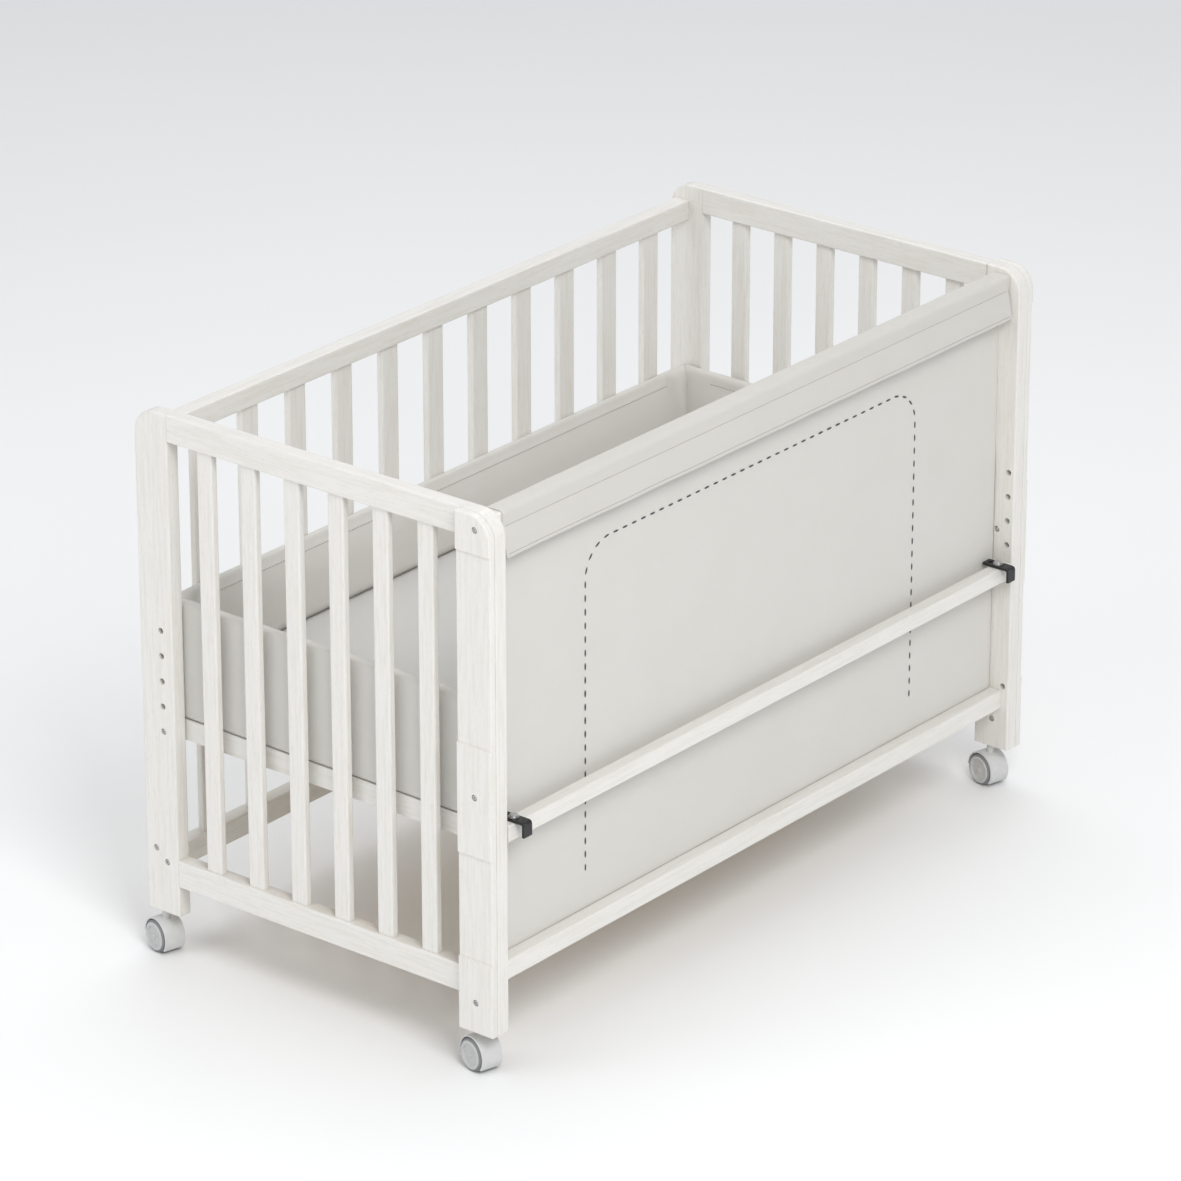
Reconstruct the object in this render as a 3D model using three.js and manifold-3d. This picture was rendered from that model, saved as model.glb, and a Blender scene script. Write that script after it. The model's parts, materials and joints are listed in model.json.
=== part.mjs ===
// Slatted bedside cot on four swivelling twin-wheel casters.
//
// Millimetres, +Z up. X runs along the length, the open front with the fabric panel and the two bed hooks
// faces -Y, and Z = 0 is the floor. The origin is the middle of the overall box, at floor level.
import * as THREE from "three";
import { mergeVertices } from "three/addons/utils/BufferGeometryUtils.js";
import Module from "manifold-3d";

const wasm = await Module();
wasm.setup();

// ---------------------------------------------------------------- driving dimensions

const BED_LENGTH = 1268; // over the outer faces of the corner posts
const BED_DEPTH = 670; // from the front faces of the front posts to the back faces of the back posts
const POST_LENGTH = 795;
const JOINT_GAP = 0.3; // left between two pieces that touch
const RUN_GAP = 1; // left between the height-adjustable base and the frame it slides in

const POST_THICK = 24; // along X, and also the thickness of the end rails
const POST_WIDTH = 62; // along Y
const POST_CORNER = 38; // radius of the top outer corner of a post
const WOOD_EDGE = 2; // rounding of every long wooden edge

const END_TOP_RAIL = 42; // height of the top rail of an end
const END_LOW_RAIL = 43;
const END_LOW_RAIL_UP = 49; // post foot to the underside of the low end rail
const END_SLATS = 6;
const END_SLAT_WIDTH = 29;
const END_SLAT_IN = 4; // outer face of the posts to the outer face of the end slats

const BACK_RAIL_THICK = 26;
const BACK_RAIL_IN = 10; // back face of the posts to the back face of the back rails
const BACK_TOP_RAIL = 33;
const BACK_TOP_RAIL_DOWN = 25; // post top to the top of the back top rail
const BACK_LOW_RAIL = 36;
const BACK_LOW_RAIL_UP = 61;
const BACK_SLATS = 11;
const BACK_SLAT_WIDTH = 36;

const SLAT_THICK = 12;
const SLAT_EDGE = 2.5;
const MORTISE_DEPTH = 12;

const FRONT_RAIL_THICK = 28;
const FRONT_RAIL_EDGE = 3; // rounding of the top rail, under its sleeve
const FRONT_TOP_RAIL = 22;
const FRONT_TOP_RAIL_IN = 20; // front face of the posts to the front face of the bare top rail
const FRONT_TOP_RAIL_DOWN = 10; // post top to the top of the bare top rail
const FRONT_LOW_RAIL = 30;
const FRONT_LOW_RAIL_UP = 70;
const FRONT_LOW_RAIL_IN = 13;
const FRONT_LOW_RAIL_THICK = 31;

const PANEL_IN = 34; // front face of the posts to the front of the fabric panel
const PANEL_THICK = 2.4;
const COVER_THICK = 1.8; // quilted sleeve round the front top rail
const COVER_SHORT_LEFT = 14; // bare rail left showing at the sleeve's left end
const COVER_SHORT_RIGHT = 3;
const FLAP_DROP = 43;
const FLAP_FLARE = 8; // how far the flap's hem stands forward of its seam

const DOUBLER_BLOCK = 13; // thickness of the three blocks of a doubler
const DOUBLER_STRIP = 10.5; // thickness between the blocks

const HOLE_RADIUS = 5;
const HOLE_PITCH = 40; // step of the bed base's height
const HEIGHTS = 5;
const BASE_BOLT_UP = 294.5; // post foot to the lowest base bolt
const BASE_BOLT_IN = 40; // back face of the posts to the row of base bolt holes
const BACK_RAIL_BOLT = [19, 102]; // from the back face of the posts, above the post foot
const END_RAIL_BOLT = [40, 84];
const LOW_RAIL_BOLT = [11, 108]; // from the front face of the posts, above the post foot
const BAR_HOLE_DEPTH = 14;

// Each block's span above the post foot: at the foot, beside the height holes and at the top.
const DOUBLER_BLOCKS = [
  [0, 114],
  [BASE_BOLT_UP - 17.5, BASE_BOLT_UP + 150.5],
  [POST_LENGTH - 58, POST_LENGTH],
];
// The centre of each block's bolt: from the post's front face, and above the post foot.
const DOUBLER_BOLTS = [
  [30, 48],
  [30, BASE_BOLT_UP + 73.5],
  [26, POST_LENGTH - 22],
];

const BOARD_HEIGHT = 33; // boards of the bed base's frame
const BOARD_THICK = 18;
const PLATE_THICK = 9;
const REBATE = 8; // width of the ledge that carries the plate

const MATTRESS_THICK = 60;
const MATTRESS_CORNER = 24;
const MATTRESS_GAP = 2.5;
const BUMPER_HEIGHT = 190;
const BUMPER_THICK = 17;
const BUMPER_SKIRT = 7; // thickness of the bumper's lower part, beside the mattress
const BUMPER_CORNER = 14;

const BAR_HEIGHT = 25; // bar that carries the two bed hooks
const BAR_DEPTH = 22;
const BAR_BOLT_UP = 306; // post foot to the lowest bar hole
const HOOK_WIDTH = 18;
const HOOK_THICK = 4;
const HOOK_REACH = 17; // front face of the bar to the front of the hook's tip
const HOOK_TIP = 23; // height of the turned-down tip, over the strap's top
const HOOK_CLEAR = 2; // rear end of the strap to the fabric panel
const HOOK_FROM_POST = 15; // post's inner face to the strap
const HOOK_BEND = 1.5; // inner radius of the bend
const HOOK_CHORDS = 4;
const SLOT_FRONT = 9; // front face of the bar to the centre of the slot's front end, at rest
const SLOT_TRAVEL = 15;
const HOOK_BOLT_RADIUS = 3;
const HOOK_BOLT_HEAD = 6.5; // radius
const HOOK_BOLT_RIM = 2; // height of the head's straight side
const HOOK_BOLT_CROWN = 1.6; // height of the slope above it
const HOOK_BOLT_FLAT = 4; // radius of the flat on top
const HOOK_BOLT_LENGTH = 20; // below the strap
const WASHER_THICK = 1.5;
const WASHER_RADIUS = 8;

const WHEEL_RADIUS = 25;
const WHEEL_WIDTH = 15;
const CASTER_WIDTH = 42; // over both wheels
const WHEEL_BEVEL = 3; // slope between the tread and the outer face
const WHEEL_EDGE = 1.5; // slope between the tread and the inner face
const HUB_PROUD = 1.5; // how far the middle of the outer face stands out
const HUB_IN = 9; // tread to the edge of that middle
const HUB_SLOPE = 3;
const AXLE_RADIUS = 3;
const HOOD_GAP = 1.6; // tread to the inside of the hood
const HOOD_WALL = 2.4;
const HOOD_WIDTH = 35;
const WEB_GAP = 2; // web to the inner face of each wheel
const HOOD_DROP = 9; // how far the hood's web reaches below the axle
const HOOD_TILT = 20; // degrees, the slope of the hood's lower edge
const TRAIL = 4; // how far the axle stands behind the swivel axis
const CASTER_TURN = -15; // degrees, how the casters stand at rest
const STEM_RADIUS = 4.5;
const STEM_SOCKET = 32; // how far the stem reaches into the post
const STEM_BACK = 8; // how far the swivel axis stands behind the middle of the post's width
const STEM_SHOWING = 14; // top of the hood to the foot of the post
const STEM_COLLAR = 5.5; // radius of the collar between the hood and the post
const COLLAR_SINK = 6; // how far the collar reaches below the top of the hood

const EDGE_CHORDS = 2; // straight pieces that stand for a rounded edge
const CORNER_CHORDS = 8; // and for a larger rounded corner
const BOLT_SIDES = 12;
const COLLAR_SIDES = 20;
const WHEEL_SIDES = 28;

// ---------------------------------------------------------------- places worked out from them

const END_X = BED_LENGTH / 2;
const INNER_X = END_X - POST_THICK;
const FRONT_Y = -(BED_DEPTH - HOOK_REACH) / 2;
const BACK_Y = FRONT_Y + BED_DEPTH;
const HOOD_RADIUS = WHEEL_RADIUS + HOOD_GAP + HOOD_WALL;
const HOOD_TOP_Z = WHEEL_RADIUS + HOOD_RADIUS;
const FOOT_Z = HOOD_TOP_Z + STEM_SHOWING;
const TOP_Z = FOOT_Z + POST_LENGTH;

const BACK_RAIL_Y = BACK_Y - BACK_RAIL_IN - BACK_RAIL_THICK / 2;
const PANEL_Y = FRONT_Y + PANEL_IN;
const BASE_FRONT_Y = PANEL_Y + PANEL_THICK + 2 * RUN_GAP;
const BASE_BACK_Y = BACK_RAIL_Y - SLAT_THICK / 2 - RUN_GAP;
const BASE_END_X = INNER_X - 2 * RUN_GAP;
const BASE_BOLT_Z = FOOT_Z + BASE_BOLT_UP;
const BASE_TOP_Z = BASE_BOLT_Z + BOARD_HEIGHT / 2;
const BAR_Z = FOOT_Z + BAR_BOLT_UP;
const BAR_TOP_Z = BAR_Z + BAR_HEIGHT / 2;

const ENDS = [
  [-1, "left"],
  [1, "right"],
];
const ROWS = [
  [-1, "front"],
  [1, "back"],
];

// ---------------------------------------------------------------- finishes

function finish(color, roughness, metalness = 0) {
  return new THREE.MeshStandardMaterial({ color, roughness, metalness });
}

const WOOD = () => finish("#efebe2", 0.45);
const CLOTH = () => finish("#f3f0ea", 0.9);
const SLEEVE = () => finish("#ece8e0", 0.9);
const PADDING = () => finish("#f0ede6", 0.95);
const TICKING = () => finish("#f7f6f2", 0.95);
const PLY = () => finish("#d9c3a0", 0.6);
const STEEL = () => finish("#17181a", 0.4, 0.9);
const SCREW = () => finish("#9a9ca0", 0.3, 1);
const HOOD = () => finish("#e4e4e2", 0.4);
const TREAD = () => finish("#8d8f91", 0.6);

const cot = new THREE.Group();

function add(name, solid, material) {
  const mesh = new THREE.Mesh(geometryOf(solid), material());
  mesh.name = name;
  cot.add(mesh);
}

// ---------------------------------------------------------------- solids

const WELD = 1e-4; // corners closer than this are one

// A closed geometry as a solid that can be joined and cut.
function solidOf(geometry) {
  const bare = geometry.index ? geometry.toNonIndexed() : geometry.clone();
  bare.deleteAttribute("normal");
  bare.deleteAttribute("uv");
  const merged = mergeVertices(bare, WELD);
  const vertProperties = merged.attributes.position.array;
  const triVerts = new Uint32Array(merged.index.array);
  return new wasm.Manifold(new wasm.Mesh({ numProp: 3, vertProperties, triVerts }));
}

function geometryOf(solid) {
  const mesh = solid.getMesh();
  const geometry = new THREE.BufferGeometry();
  geometry.setAttribute("position", new THREE.BufferAttribute(new Float32Array(mesh.vertProperties), 3));
  geometry.setIndex(new THREE.BufferAttribute(new Uint32Array(mesh.triVerts), 1));
  const flat = geometry.toNonIndexed();
  flat.computeVertexNormals();
  return flat;
}

// A rectangle of the given lowest and highest corners with rounded corners.
function roundedRect(u0, v0, u1, v1, radius) {
  const shape = new THREE.Shape();
  const quarter = Math.PI / 2;
  shape.absarc(u1 - radius, v0 + radius, radius, -quarter, 0);
  shape.absarc(u1 - radius, v1 - radius, radius, 0, quarter);
  shape.absarc(u0 + radius, v1 - radius, radius, quarter, 2 * quarter);
  shape.absarc(u0 + radius, v0 + radius, radius, 2 * quarter, 3 * quarter);
  shape.closePath();
  return shape;
}

// Extrudes a shape drawn in the plane across an axis, from one place on that axis to another.
// Along "x" the shape's coordinates are Y and Z, along "y" they are Z and X, along "z" X and Y.
// chords is the number of straight pieces for each arc in the shape: three.js takes half that number.
function along(axis, shape, from, to, chords = EDGE_CHORDS) {
  const curveSegments = chords / 2;
  const options = { depth: to - from, bevelEnabled: false, curveSegments };
  const geometry = new THREE.ExtrudeGeometry(shape, options);
  geometry.translate(0, 0, from);
  const turn = new THREE.Matrix4();
  if (axis === "x") turn.set(0, 0, 1, 0, 1, 0, 0, 0, 0, 1, 0, 0, 0, 0, 0, 1);
  if (axis === "y") turn.set(0, 1, 0, 0, 0, 0, 1, 0, 1, 0, 0, 0, 0, 0, 0, 1);
  geometry.applyMatrix4(turn);
  return solidOf(geometry);
}

function box(low, high) {
  const geometry = new THREE.BoxGeometry(high[0] - low[0], high[1] - low[1], high[2] - low[2]);
  geometry.translate((low[0] + high[0]) / 2, (low[1] + high[1]) / 2, (low[2] + high[2]) / 2);
  return solidOf(geometry);
}

// A bar along X, Y or Z between two corners, its long edges rounded.
function bar(axis, low, high, radius = WOOD_EDGE, chords = EDGE_CHORDS) {
  const [u, v, w] = { x: [1, 2, 0], y: [2, 0, 1], z: [0, 1, 2] }[axis];
  return along(axis, roundedRect(low[u], low[v], high[u], high[v], radius), low[w], high[w], chords);
}

// A round rod along an axis, through the given centre in the plane across it.
function rod(axis, centre, radius, from, to, sides = BOLT_SIDES) {
  const shape = new THREE.Shape();
  shape.absarc(centre[0], centre[1], radius, 0, 2 * Math.PI);
  return along(axis, shape, from, to, sides);
}

// ---------------------------------------------------------------- corner posts

// A post's outline from the side: a long board with its top outer corner rounded.
// outward is -1 at the front, where the rounded corner faces -Y, and 1 at the back.
function postOutline(outward, zLow, zHigh) {
  const outer = outward < 0 ? FRONT_Y : BACK_Y;
  const inner = outer - outward * POST_WIDTH;
  const centreY = outer - outward * POST_CORNER;
  const shape = new THREE.Shape();
  const quarter = Math.PI / 2;
  shape.moveTo(inner, zLow);
  shape.lineTo(outer, zLow);
  shape.lineTo(outer, zHigh - POST_CORNER);
  if (outward < 0) shape.absarc(centreY, zHigh - POST_CORNER, POST_CORNER, Math.PI, quarter, true);
  else shape.absarc(centreY, zHigh - POST_CORNER, POST_CORNER, 0, quarter, false);
  shape.lineTo(inner, zHigh);
  shape.closePath();
  return shape;
}

// The slab between two X planes with that outline, its outer and inner face edges rounded.
function postSlab(outward, xLow, xHigh) {
  const geometry = new THREE.ExtrudeGeometry(postOutline(outward, FOOT_Z, TOP_Z), {
    depth: xHigh - xLow - 2 * WOOD_EDGE,
    bevelThickness: WOOD_EDGE,
    bevelSize: WOOD_EDGE,
    bevelOffset: -WOOD_EDGE,
    bevelSegments: 2,
    curveSegments: CORNER_CHORDS / 2,
  });
  geometry.translate(0, 0, xLow + WOOD_EDGE);
  geometry.applyMatrix4(new THREE.Matrix4().set(0, 0, 1, 0, 1, 0, 0, 0, 0, 1, 0, 0, 0, 0, 0, 1));
  return solidOf(geometry);
}

const heightSteps = Array.from({ length: HEIGHTS }, (_, i) => i * HOLE_PITCH);

// The holes through a post, in one place on Y and Z each.
function postHoles(outward) {
  if (outward > 0) {
    const row = heightSteps.map((up) => [BACK_Y - BASE_BOLT_IN, BASE_BOLT_Z + up]);
    row.push([BACK_Y - BACK_RAIL_BOLT[0], FOOT_Z + BACK_RAIL_BOLT[1]]);
    row.push([BACK_Y - END_RAIL_BOLT[0], FOOT_Z + END_RAIL_BOLT[1]]);
    return row;
  }
  return DOUBLER_BOLTS.map(([back, up]) => [FRONT_Y + back, FOOT_Z + up]);
}

// side is -1 at the left end and 1 at the right.
function post(side, outward) {
  const xLow = side < 0 ? -END_X : INNER_X;
  let solid = postSlab(outward, xLow, xLow + POST_THICK);
  for (const centre of postHoles(outward)) {
    solid = solid.subtract(rod("x", centre, HOLE_RADIUS, xLow - 1, xLow + POST_THICK + 1));
  }
  if (outward < 0) {
    const inner = side * INNER_X;
    const deep = inner + side * BAR_HOLE_DEPTH;
    const from = Math.min(inner - side, deep);
    const to = Math.max(inner - side, deep);
    for (const up of heightSteps) {
      solid = solid.subtract(rod("x", [FRONT_Y + BAR_DEPTH / 2, BAR_Z + up], HOLE_RADIUS, from, to));
    }
    const lowHole = [FRONT_Y + LOW_RAIL_BOLT[0], FOOT_Z + LOW_RAIL_BOLT[1]];
    solid = solid.subtract(rod("x", lowHole, HOLE_RADIUS, from, to));
  }
  const stem = stemPlace(side, outward);
  return solid.subtract(rod("z", stem, STEM_RADIUS + JOINT_GAP, FOOT_Z - 1, FOOT_Z + STEM_SOCKET + 1));
}

// The swivel axis of a caster, in the middle of its post's thickness.
function stemPlace(side, outward) {
  const outer = outward < 0 ? FRONT_Y : BACK_Y;
  return [side * (END_X - POST_THICK / 2), outer - (outward * POST_WIDTH) / 2 + STEM_BACK];
}

// ---------------------------------------------------------------- slats and rails

// The middles of a row of slats spread evenly between two posts, with equal gaps.
function slatMiddles(low, high, count, width) {
  const gap = (high - low - count * width) / (count + 1);
  return Array.from({ length: count }, (_, i) => low + gap + width / 2 + i * (gap + width));
}

// A slat standing between two rails, or with grow > 0 the mortises that it stands in.
function slat(x, y, sizeX, sizeY, zLow, zHigh, grow = 0) {
  const low = [x - sizeX / 2 - grow, y - sizeY / 2 - grow, zLow];
  const high = [x + sizeX / 2 + grow, y + sizeY / 2 + grow, zHigh];
  return bar("z", low, high, SLAT_EDGE + grow);
}

const endRailZ = {
  low: [FOOT_Z + END_LOW_RAIL_UP, FOOT_Z + END_LOW_RAIL_UP + END_LOW_RAIL],
  top: [TOP_Z - END_TOP_RAIL, TOP_Z],
};
const backRailZ = {
  low: [FOOT_Z + BACK_LOW_RAIL_UP, FOOT_Z + BACK_LOW_RAIL_UP + BACK_LOW_RAIL],
  top: [TOP_Z - BACK_TOP_RAIL_DOWN - BACK_TOP_RAIL, TOP_Z - BACK_TOP_RAIL_DOWN],
};

// The span of a slat, or of its mortises, in Z: it reaches into the rails below and above.
function slatSpan(railZ, grow) {
  return [railZ.low[1] - MORTISE_DEPTH - grow, railZ.top[0] + MORTISE_DEPTH + grow];
}

function addEnd(side, word) {
  const xOut = side * END_X;
  const xIn = side * INNER_X;
  const slatX = side * (END_X - END_SLAT_IN - SLAT_THICK / 2);
  const yLow = FRONT_Y + POST_WIDTH + JOINT_GAP;
  const yHigh = BACK_Y - POST_WIDTH - JOINT_GAP;
  const middles = slatMiddles(FRONT_Y + POST_WIDTH, BACK_Y - POST_WIDTH, END_SLATS, END_SLAT_WIDTH);
  const piece = (y, grow) => {
    const [zLow, zHigh] = slatSpan(endRailZ, grow);
    return slat(slatX, y, SLAT_THICK, END_SLAT_WIDTH, zLow, zHigh, grow);
  };
  for (const [place, z] of Object.entries(endRailZ)) {
    const low = [Math.min(xOut, xIn), yLow, z[0]];
    const high = [Math.max(xOut, xIn), yHigh, z[1]];
    let rail = bar("y", low, high);
    for (const y of middles) rail = rail.subtract(piece(y, JOINT_GAP));
    add(`${word}_end_${place}_rail`, rail, WOOD);
  }
  middles.forEach((y, i) => add(`${word}_end_slat_${i + 1}`, piece(y, 0), WOOD));
}

function addBack() {
  const middles = slatMiddles(-INNER_X, INNER_X, BACK_SLATS, BACK_SLAT_WIDTH);
  const piece = (x, grow) => {
    const [zLow, zHigh] = slatSpan(backRailZ, grow);
    return slat(x, BACK_RAIL_Y, BACK_SLAT_WIDTH, SLAT_THICK, zLow, zHigh, grow);
  };
  for (const [place, z] of Object.entries(backRailZ)) {
    const low = [-INNER_X + JOINT_GAP, BACK_RAIL_Y - BACK_RAIL_THICK / 2, z[0]];
    const high = [INNER_X - JOINT_GAP, BACK_RAIL_Y + BACK_RAIL_THICK / 2, z[1]];
    let rail = bar("x", low, high);
    for (const x of middles) rail = rail.subtract(piece(x, JOINT_GAP));
    add(`back_${place}_rail`, rail, WOOD);
  }
  middles.forEach((x, i) => add(`back_slat_${i + 1}`, piece(x, 0), WOOD));
}

// ---------------------------------------------------------------- front: rails, panel and sleeve

const frontTopRail = {
  y: [FRONT_Y + FRONT_TOP_RAIL_IN, FRONT_Y + FRONT_TOP_RAIL_IN + FRONT_RAIL_THICK],
  z: [TOP_Z - FRONT_TOP_RAIL_DOWN - FRONT_TOP_RAIL, TOP_Z - FRONT_TOP_RAIL_DOWN],
};

function addFrontRails() {
  const x = INNER_X - JOINT_GAP;
  const { y, z } = frontTopRail;
  add("front_top_rail", bar("x", [-x, y[0], z[0]], [x, y[1], z[1]], FRONT_RAIL_EDGE), WOOD);
  const lowY = FRONT_Y + FRONT_LOW_RAIL_IN;
  const lowZ = FOOT_Z + FRONT_LOW_RAIL_UP;
  const high = [x, lowY + FRONT_LOW_RAIL_THICK, lowZ + FRONT_LOW_RAIL];
  add("front_low_rail", bar("x", [-x, lowY, lowZ], high), WOOD);
}

// The stretched cloth between the front rails, hung under the sleeve.
function addPanel() {
  const x = INNER_X - RUN_GAP;
  const zLow = FOOT_Z + FRONT_LOW_RAIL_UP + FRONT_LOW_RAIL + JOINT_GAP;
  const zHigh = frontTopRail.z[0] - COVER_THICK - 2 * JOINT_GAP;
  add("front_panel", box([-x, PANEL_Y, zLow], [x, PANEL_Y + PANEL_THICK, zHigh]), CLOTH);
}

// A sleeve wrapped round the front top rail, with a flap that hangs from its lower front edge.
function addSleeve() {
  const { y, z } = frontTopRail;
  const grow = COVER_THICK + JOINT_GAP;
  const yLow = y[0] - grow;
  const zLow = z[0] - grow;
  const round = FRONT_RAIL_EDGE + grow;
  const quarter = Math.PI / 2;
  const outer = new THREE.Shape();
  outer.absarc(y[1] + grow - round, zLow + round, round, -quarter, 0);
  outer.absarc(y[1] + grow - round, z[1] + grow - round, round, 0, quarter);
  outer.absarc(yLow + round, z[1] + grow - round, round, quarter, 2 * quarter);
  outer.lineTo(yLow, zLow + COVER_THICK);
  outer.lineTo(yLow - FLAP_FLARE, zLow - FLAP_DROP);
  outer.lineTo(yLow - FLAP_FLARE + COVER_THICK, zLow - FLAP_DROP);
  outer.lineTo(yLow + COVER_THICK, zLow);
  outer.closePath();
  const gap = JOINT_GAP;
  const bore = roundedRect(y[0] - gap, z[0] - gap, y[1] + gap, z[1] + gap, FRONT_RAIL_EDGE);
  outer.holes.push(bore);
  const solid = along("x", outer, -INNER_X + COVER_SHORT_LEFT, INNER_X - COVER_SHORT_RIGHT);
  add("rail_sleeve", solid, SLEEVE);
}

// ---------------------------------------------------------------- doublers on the front posts

// A board along the outer face of a front post, thicker in three blocks, each bolted through.
function doubler(side) {
  const face = side * (END_X + JOINT_GAP);
  const slab = (thick) => {
    const outer = face + side * thick;
    return postSlab(-1, Math.min(face, outer), Math.max(face, outer));
  };
  const thick = slab(DOUBLER_BLOCK);
  let solid = slab(DOUBLER_STRIP);
  for (const [low, high] of DOUBLER_BLOCKS) {
    const reach = END_X + 2 * DOUBLER_BLOCK;
    const lowCorner = [-reach, FRONT_Y - 1, FOOT_Z + low];
    const cutter = box(lowCorner, [reach, FRONT_Y + POST_WIDTH + 1, FOOT_Z + high]);
    solid = solid.add(thick.intersect(cutter));
  }
  for (const [back, up] of DOUBLER_BOLTS) {
    const xFar = side * (END_X + 2 * DOUBLER_BLOCK);
    const centre = [FRONT_Y + back, FOOT_Z + up];
    const near = side * (END_X - 1);
    solid = solid.subtract(rod("x", centre, HOLE_RADIUS, Math.min(near, xFar), Math.max(near, xFar)));
  }
  return solid;
}

// ---------------------------------------------------------------- bed base, mattress and bumper

// The frame boards have a ledge along their inner top edge that carries the plate.
function addBase() {
  const zLow = BASE_TOP_Z - BOARD_HEIGHT;
  const ledgeZ = BASE_TOP_Z - PLATE_THICK - JOINT_GAP;
  const board = (out, inward) => {
    const shape = new THREE.Shape();
    shape.moveTo(out, zLow);
    shape.lineTo(out + inward * BOARD_THICK, zLow);
    shape.lineTo(out + inward * BOARD_THICK, ledgeZ);
    shape.lineTo(out + inward * (BOARD_THICK - REBATE), ledgeZ);
    shape.lineTo(out + inward * (BOARD_THICK - REBATE), BASE_TOP_Z);
    shape.lineTo(out, BASE_TOP_Z);
    shape.closePath();
    return shape;
  };
  for (const [side, word] of ENDS) {
    const outX = side * BASE_END_X;
    const turned = board(outX, -side).getPoints().map((p) => new THREE.Vector2(p.y, p.x));
    const profile = new THREE.Shape(turned);
    let solid = along("y", profile, BASE_FRONT_Y, BASE_BACK_Y);
    const far = side * (BASE_END_X - BOARD_THICK - 1);
    const near = side * (BASE_END_X + 1);
    const place = [BACK_Y - BASE_BOLT_IN, BASE_BOLT_Z];
    solid = solid.subtract(rod("x", place, HOLE_RADIUS, Math.min(near, far), Math.max(near, far)));
    add(`base_${word}_board`, solid, WOOD);
  }
  const x = BASE_END_X - BOARD_THICK - JOINT_GAP;
  add("base_front_board", along("x", board(BASE_FRONT_Y, 1), -x, x), WOOD);
  add("base_back_board", along("x", board(BASE_BACK_Y, -1), -x, x), WOOD);

  const inset = BOARD_THICK - REBATE + JOINT_GAP;
  const low = [-BASE_END_X + inset, BASE_FRONT_Y + inset, BASE_TOP_Z - PLATE_THICK];
  const high = [BASE_END_X - inset, BASE_BACK_Y - inset, BASE_TOP_Z];
  add("base_plate", box(low, high), PLY);
}

const bumperBottom = BASE_TOP_Z + JOINT_GAP;
const mattressTop = bumperBottom + MATTRESS_THICK;

function addMattress() {
  const inset = BUMPER_SKIRT + MATTRESS_GAP;
  const low = [-BASE_END_X + inset, BASE_FRONT_Y + inset, bumperBottom];
  const high = [BASE_END_X - inset, BASE_BACK_Y - inset, mattressTop];
  add("mattress", bar("z", low, high, MATTRESS_CORNER, CORNER_CHORDS), TICKING);
}

// A padded ring standing on the base, thinner beside the mattress and full above it.
function addBumper() {
  const ring = (inset, zLow, zHigh, radius) => {
    const low = [-BASE_END_X + inset, BASE_FRONT_Y + inset, zLow];
    return bar("z", low, [BASE_END_X - inset, BASE_BACK_Y - inset, zHigh], radius, CORNER_CHORDS);
  };
  const top = bumperBottom + BUMPER_HEIGHT;
  const shoulder = mattressTop + MATTRESS_GAP;
  const solid = ring(0, bumperBottom, top, BUMPER_CORNER)
    .subtract(ring(BUMPER_SKIRT, bumperBottom - 1, shoulder, BUMPER_CORNER - BUMPER_SKIRT))
    .subtract(ring(BUMPER_THICK, shoulder - 1, top + 1, BUMPER_CORNER));
  add("bumper", solid, PADDING);
}

// ---------------------------------------------------------------- hook bar and bed hooks

function hookX(side) {
  return side * (INNER_X - HOOK_FROM_POST - HOOK_WIDTH / 2);
}

const hookBoltY = FRONT_Y + SLOT_FRONT;

function addBar() {
  const x = INNER_X - RUN_GAP;
  let solid = bar("x", [-x, FRONT_Y, BAR_Z - BAR_HEIGHT / 2], [x, FRONT_Y + BAR_DEPTH, BAR_TOP_Z]);
  for (const [side] of ENDS) {
    const foot = BAR_TOP_Z - HOOK_BOLT_LENGTH - 1;
    const place = [hookX(side), hookBoltY];
    solid = solid.subtract(rod("z", place, HOOK_BOLT_RADIUS + JOINT_GAP, foot, BAR_TOP_Z + 1));
  }
  add("hook_bar", solid, WOOD);
}

// A slotted strap lying on the bar, its front end turned down to hook behind a bed's side rail.
function hook(side) {
  const x = hookX(side);
  const under = BAR_TOP_Z + JOINT_GAP;
  const top = under + HOOK_THICK;
  const tipY = FRONT_Y - HOOK_REACH;
  const backY = PANEL_Y - HOOK_CLEAR;
  const outside = HOOK_BEND + HOOK_THICK;
  const quarter = Math.PI / 2;
  const profile = new THREE.Shape();
  profile.moveTo(backY, under);
  profile.lineTo(backY, top);
  profile.absarc(tipY + outside, top - outside, outside, quarter, 2 * quarter, false);
  profile.lineTo(tipY, top - HOOK_TIP);
  profile.lineTo(tipY + HOOK_THICK, top - HOOK_TIP);
  profile.absarc(tipY + outside, top - outside, HOOK_BEND, 2 * quarter, quarter, true);
  profile.closePath();
  const strap = along("x", profile, x - HOOK_WIDTH / 2, x + HOOK_WIDTH / 2, HOOK_CHORDS);
  const half = HOOK_BOLT_RADIUS + JOINT_GAP;
  const low = [x - half, hookBoltY - half];
  const slot = roundedRect(low[0], low[1], x + half, hookBoltY + SLOT_TRAVEL + half, half - 0.01);
  return strap.subtract(along("z", slot, under - 1, top + 1, HOOK_CHORDS));
}

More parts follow.
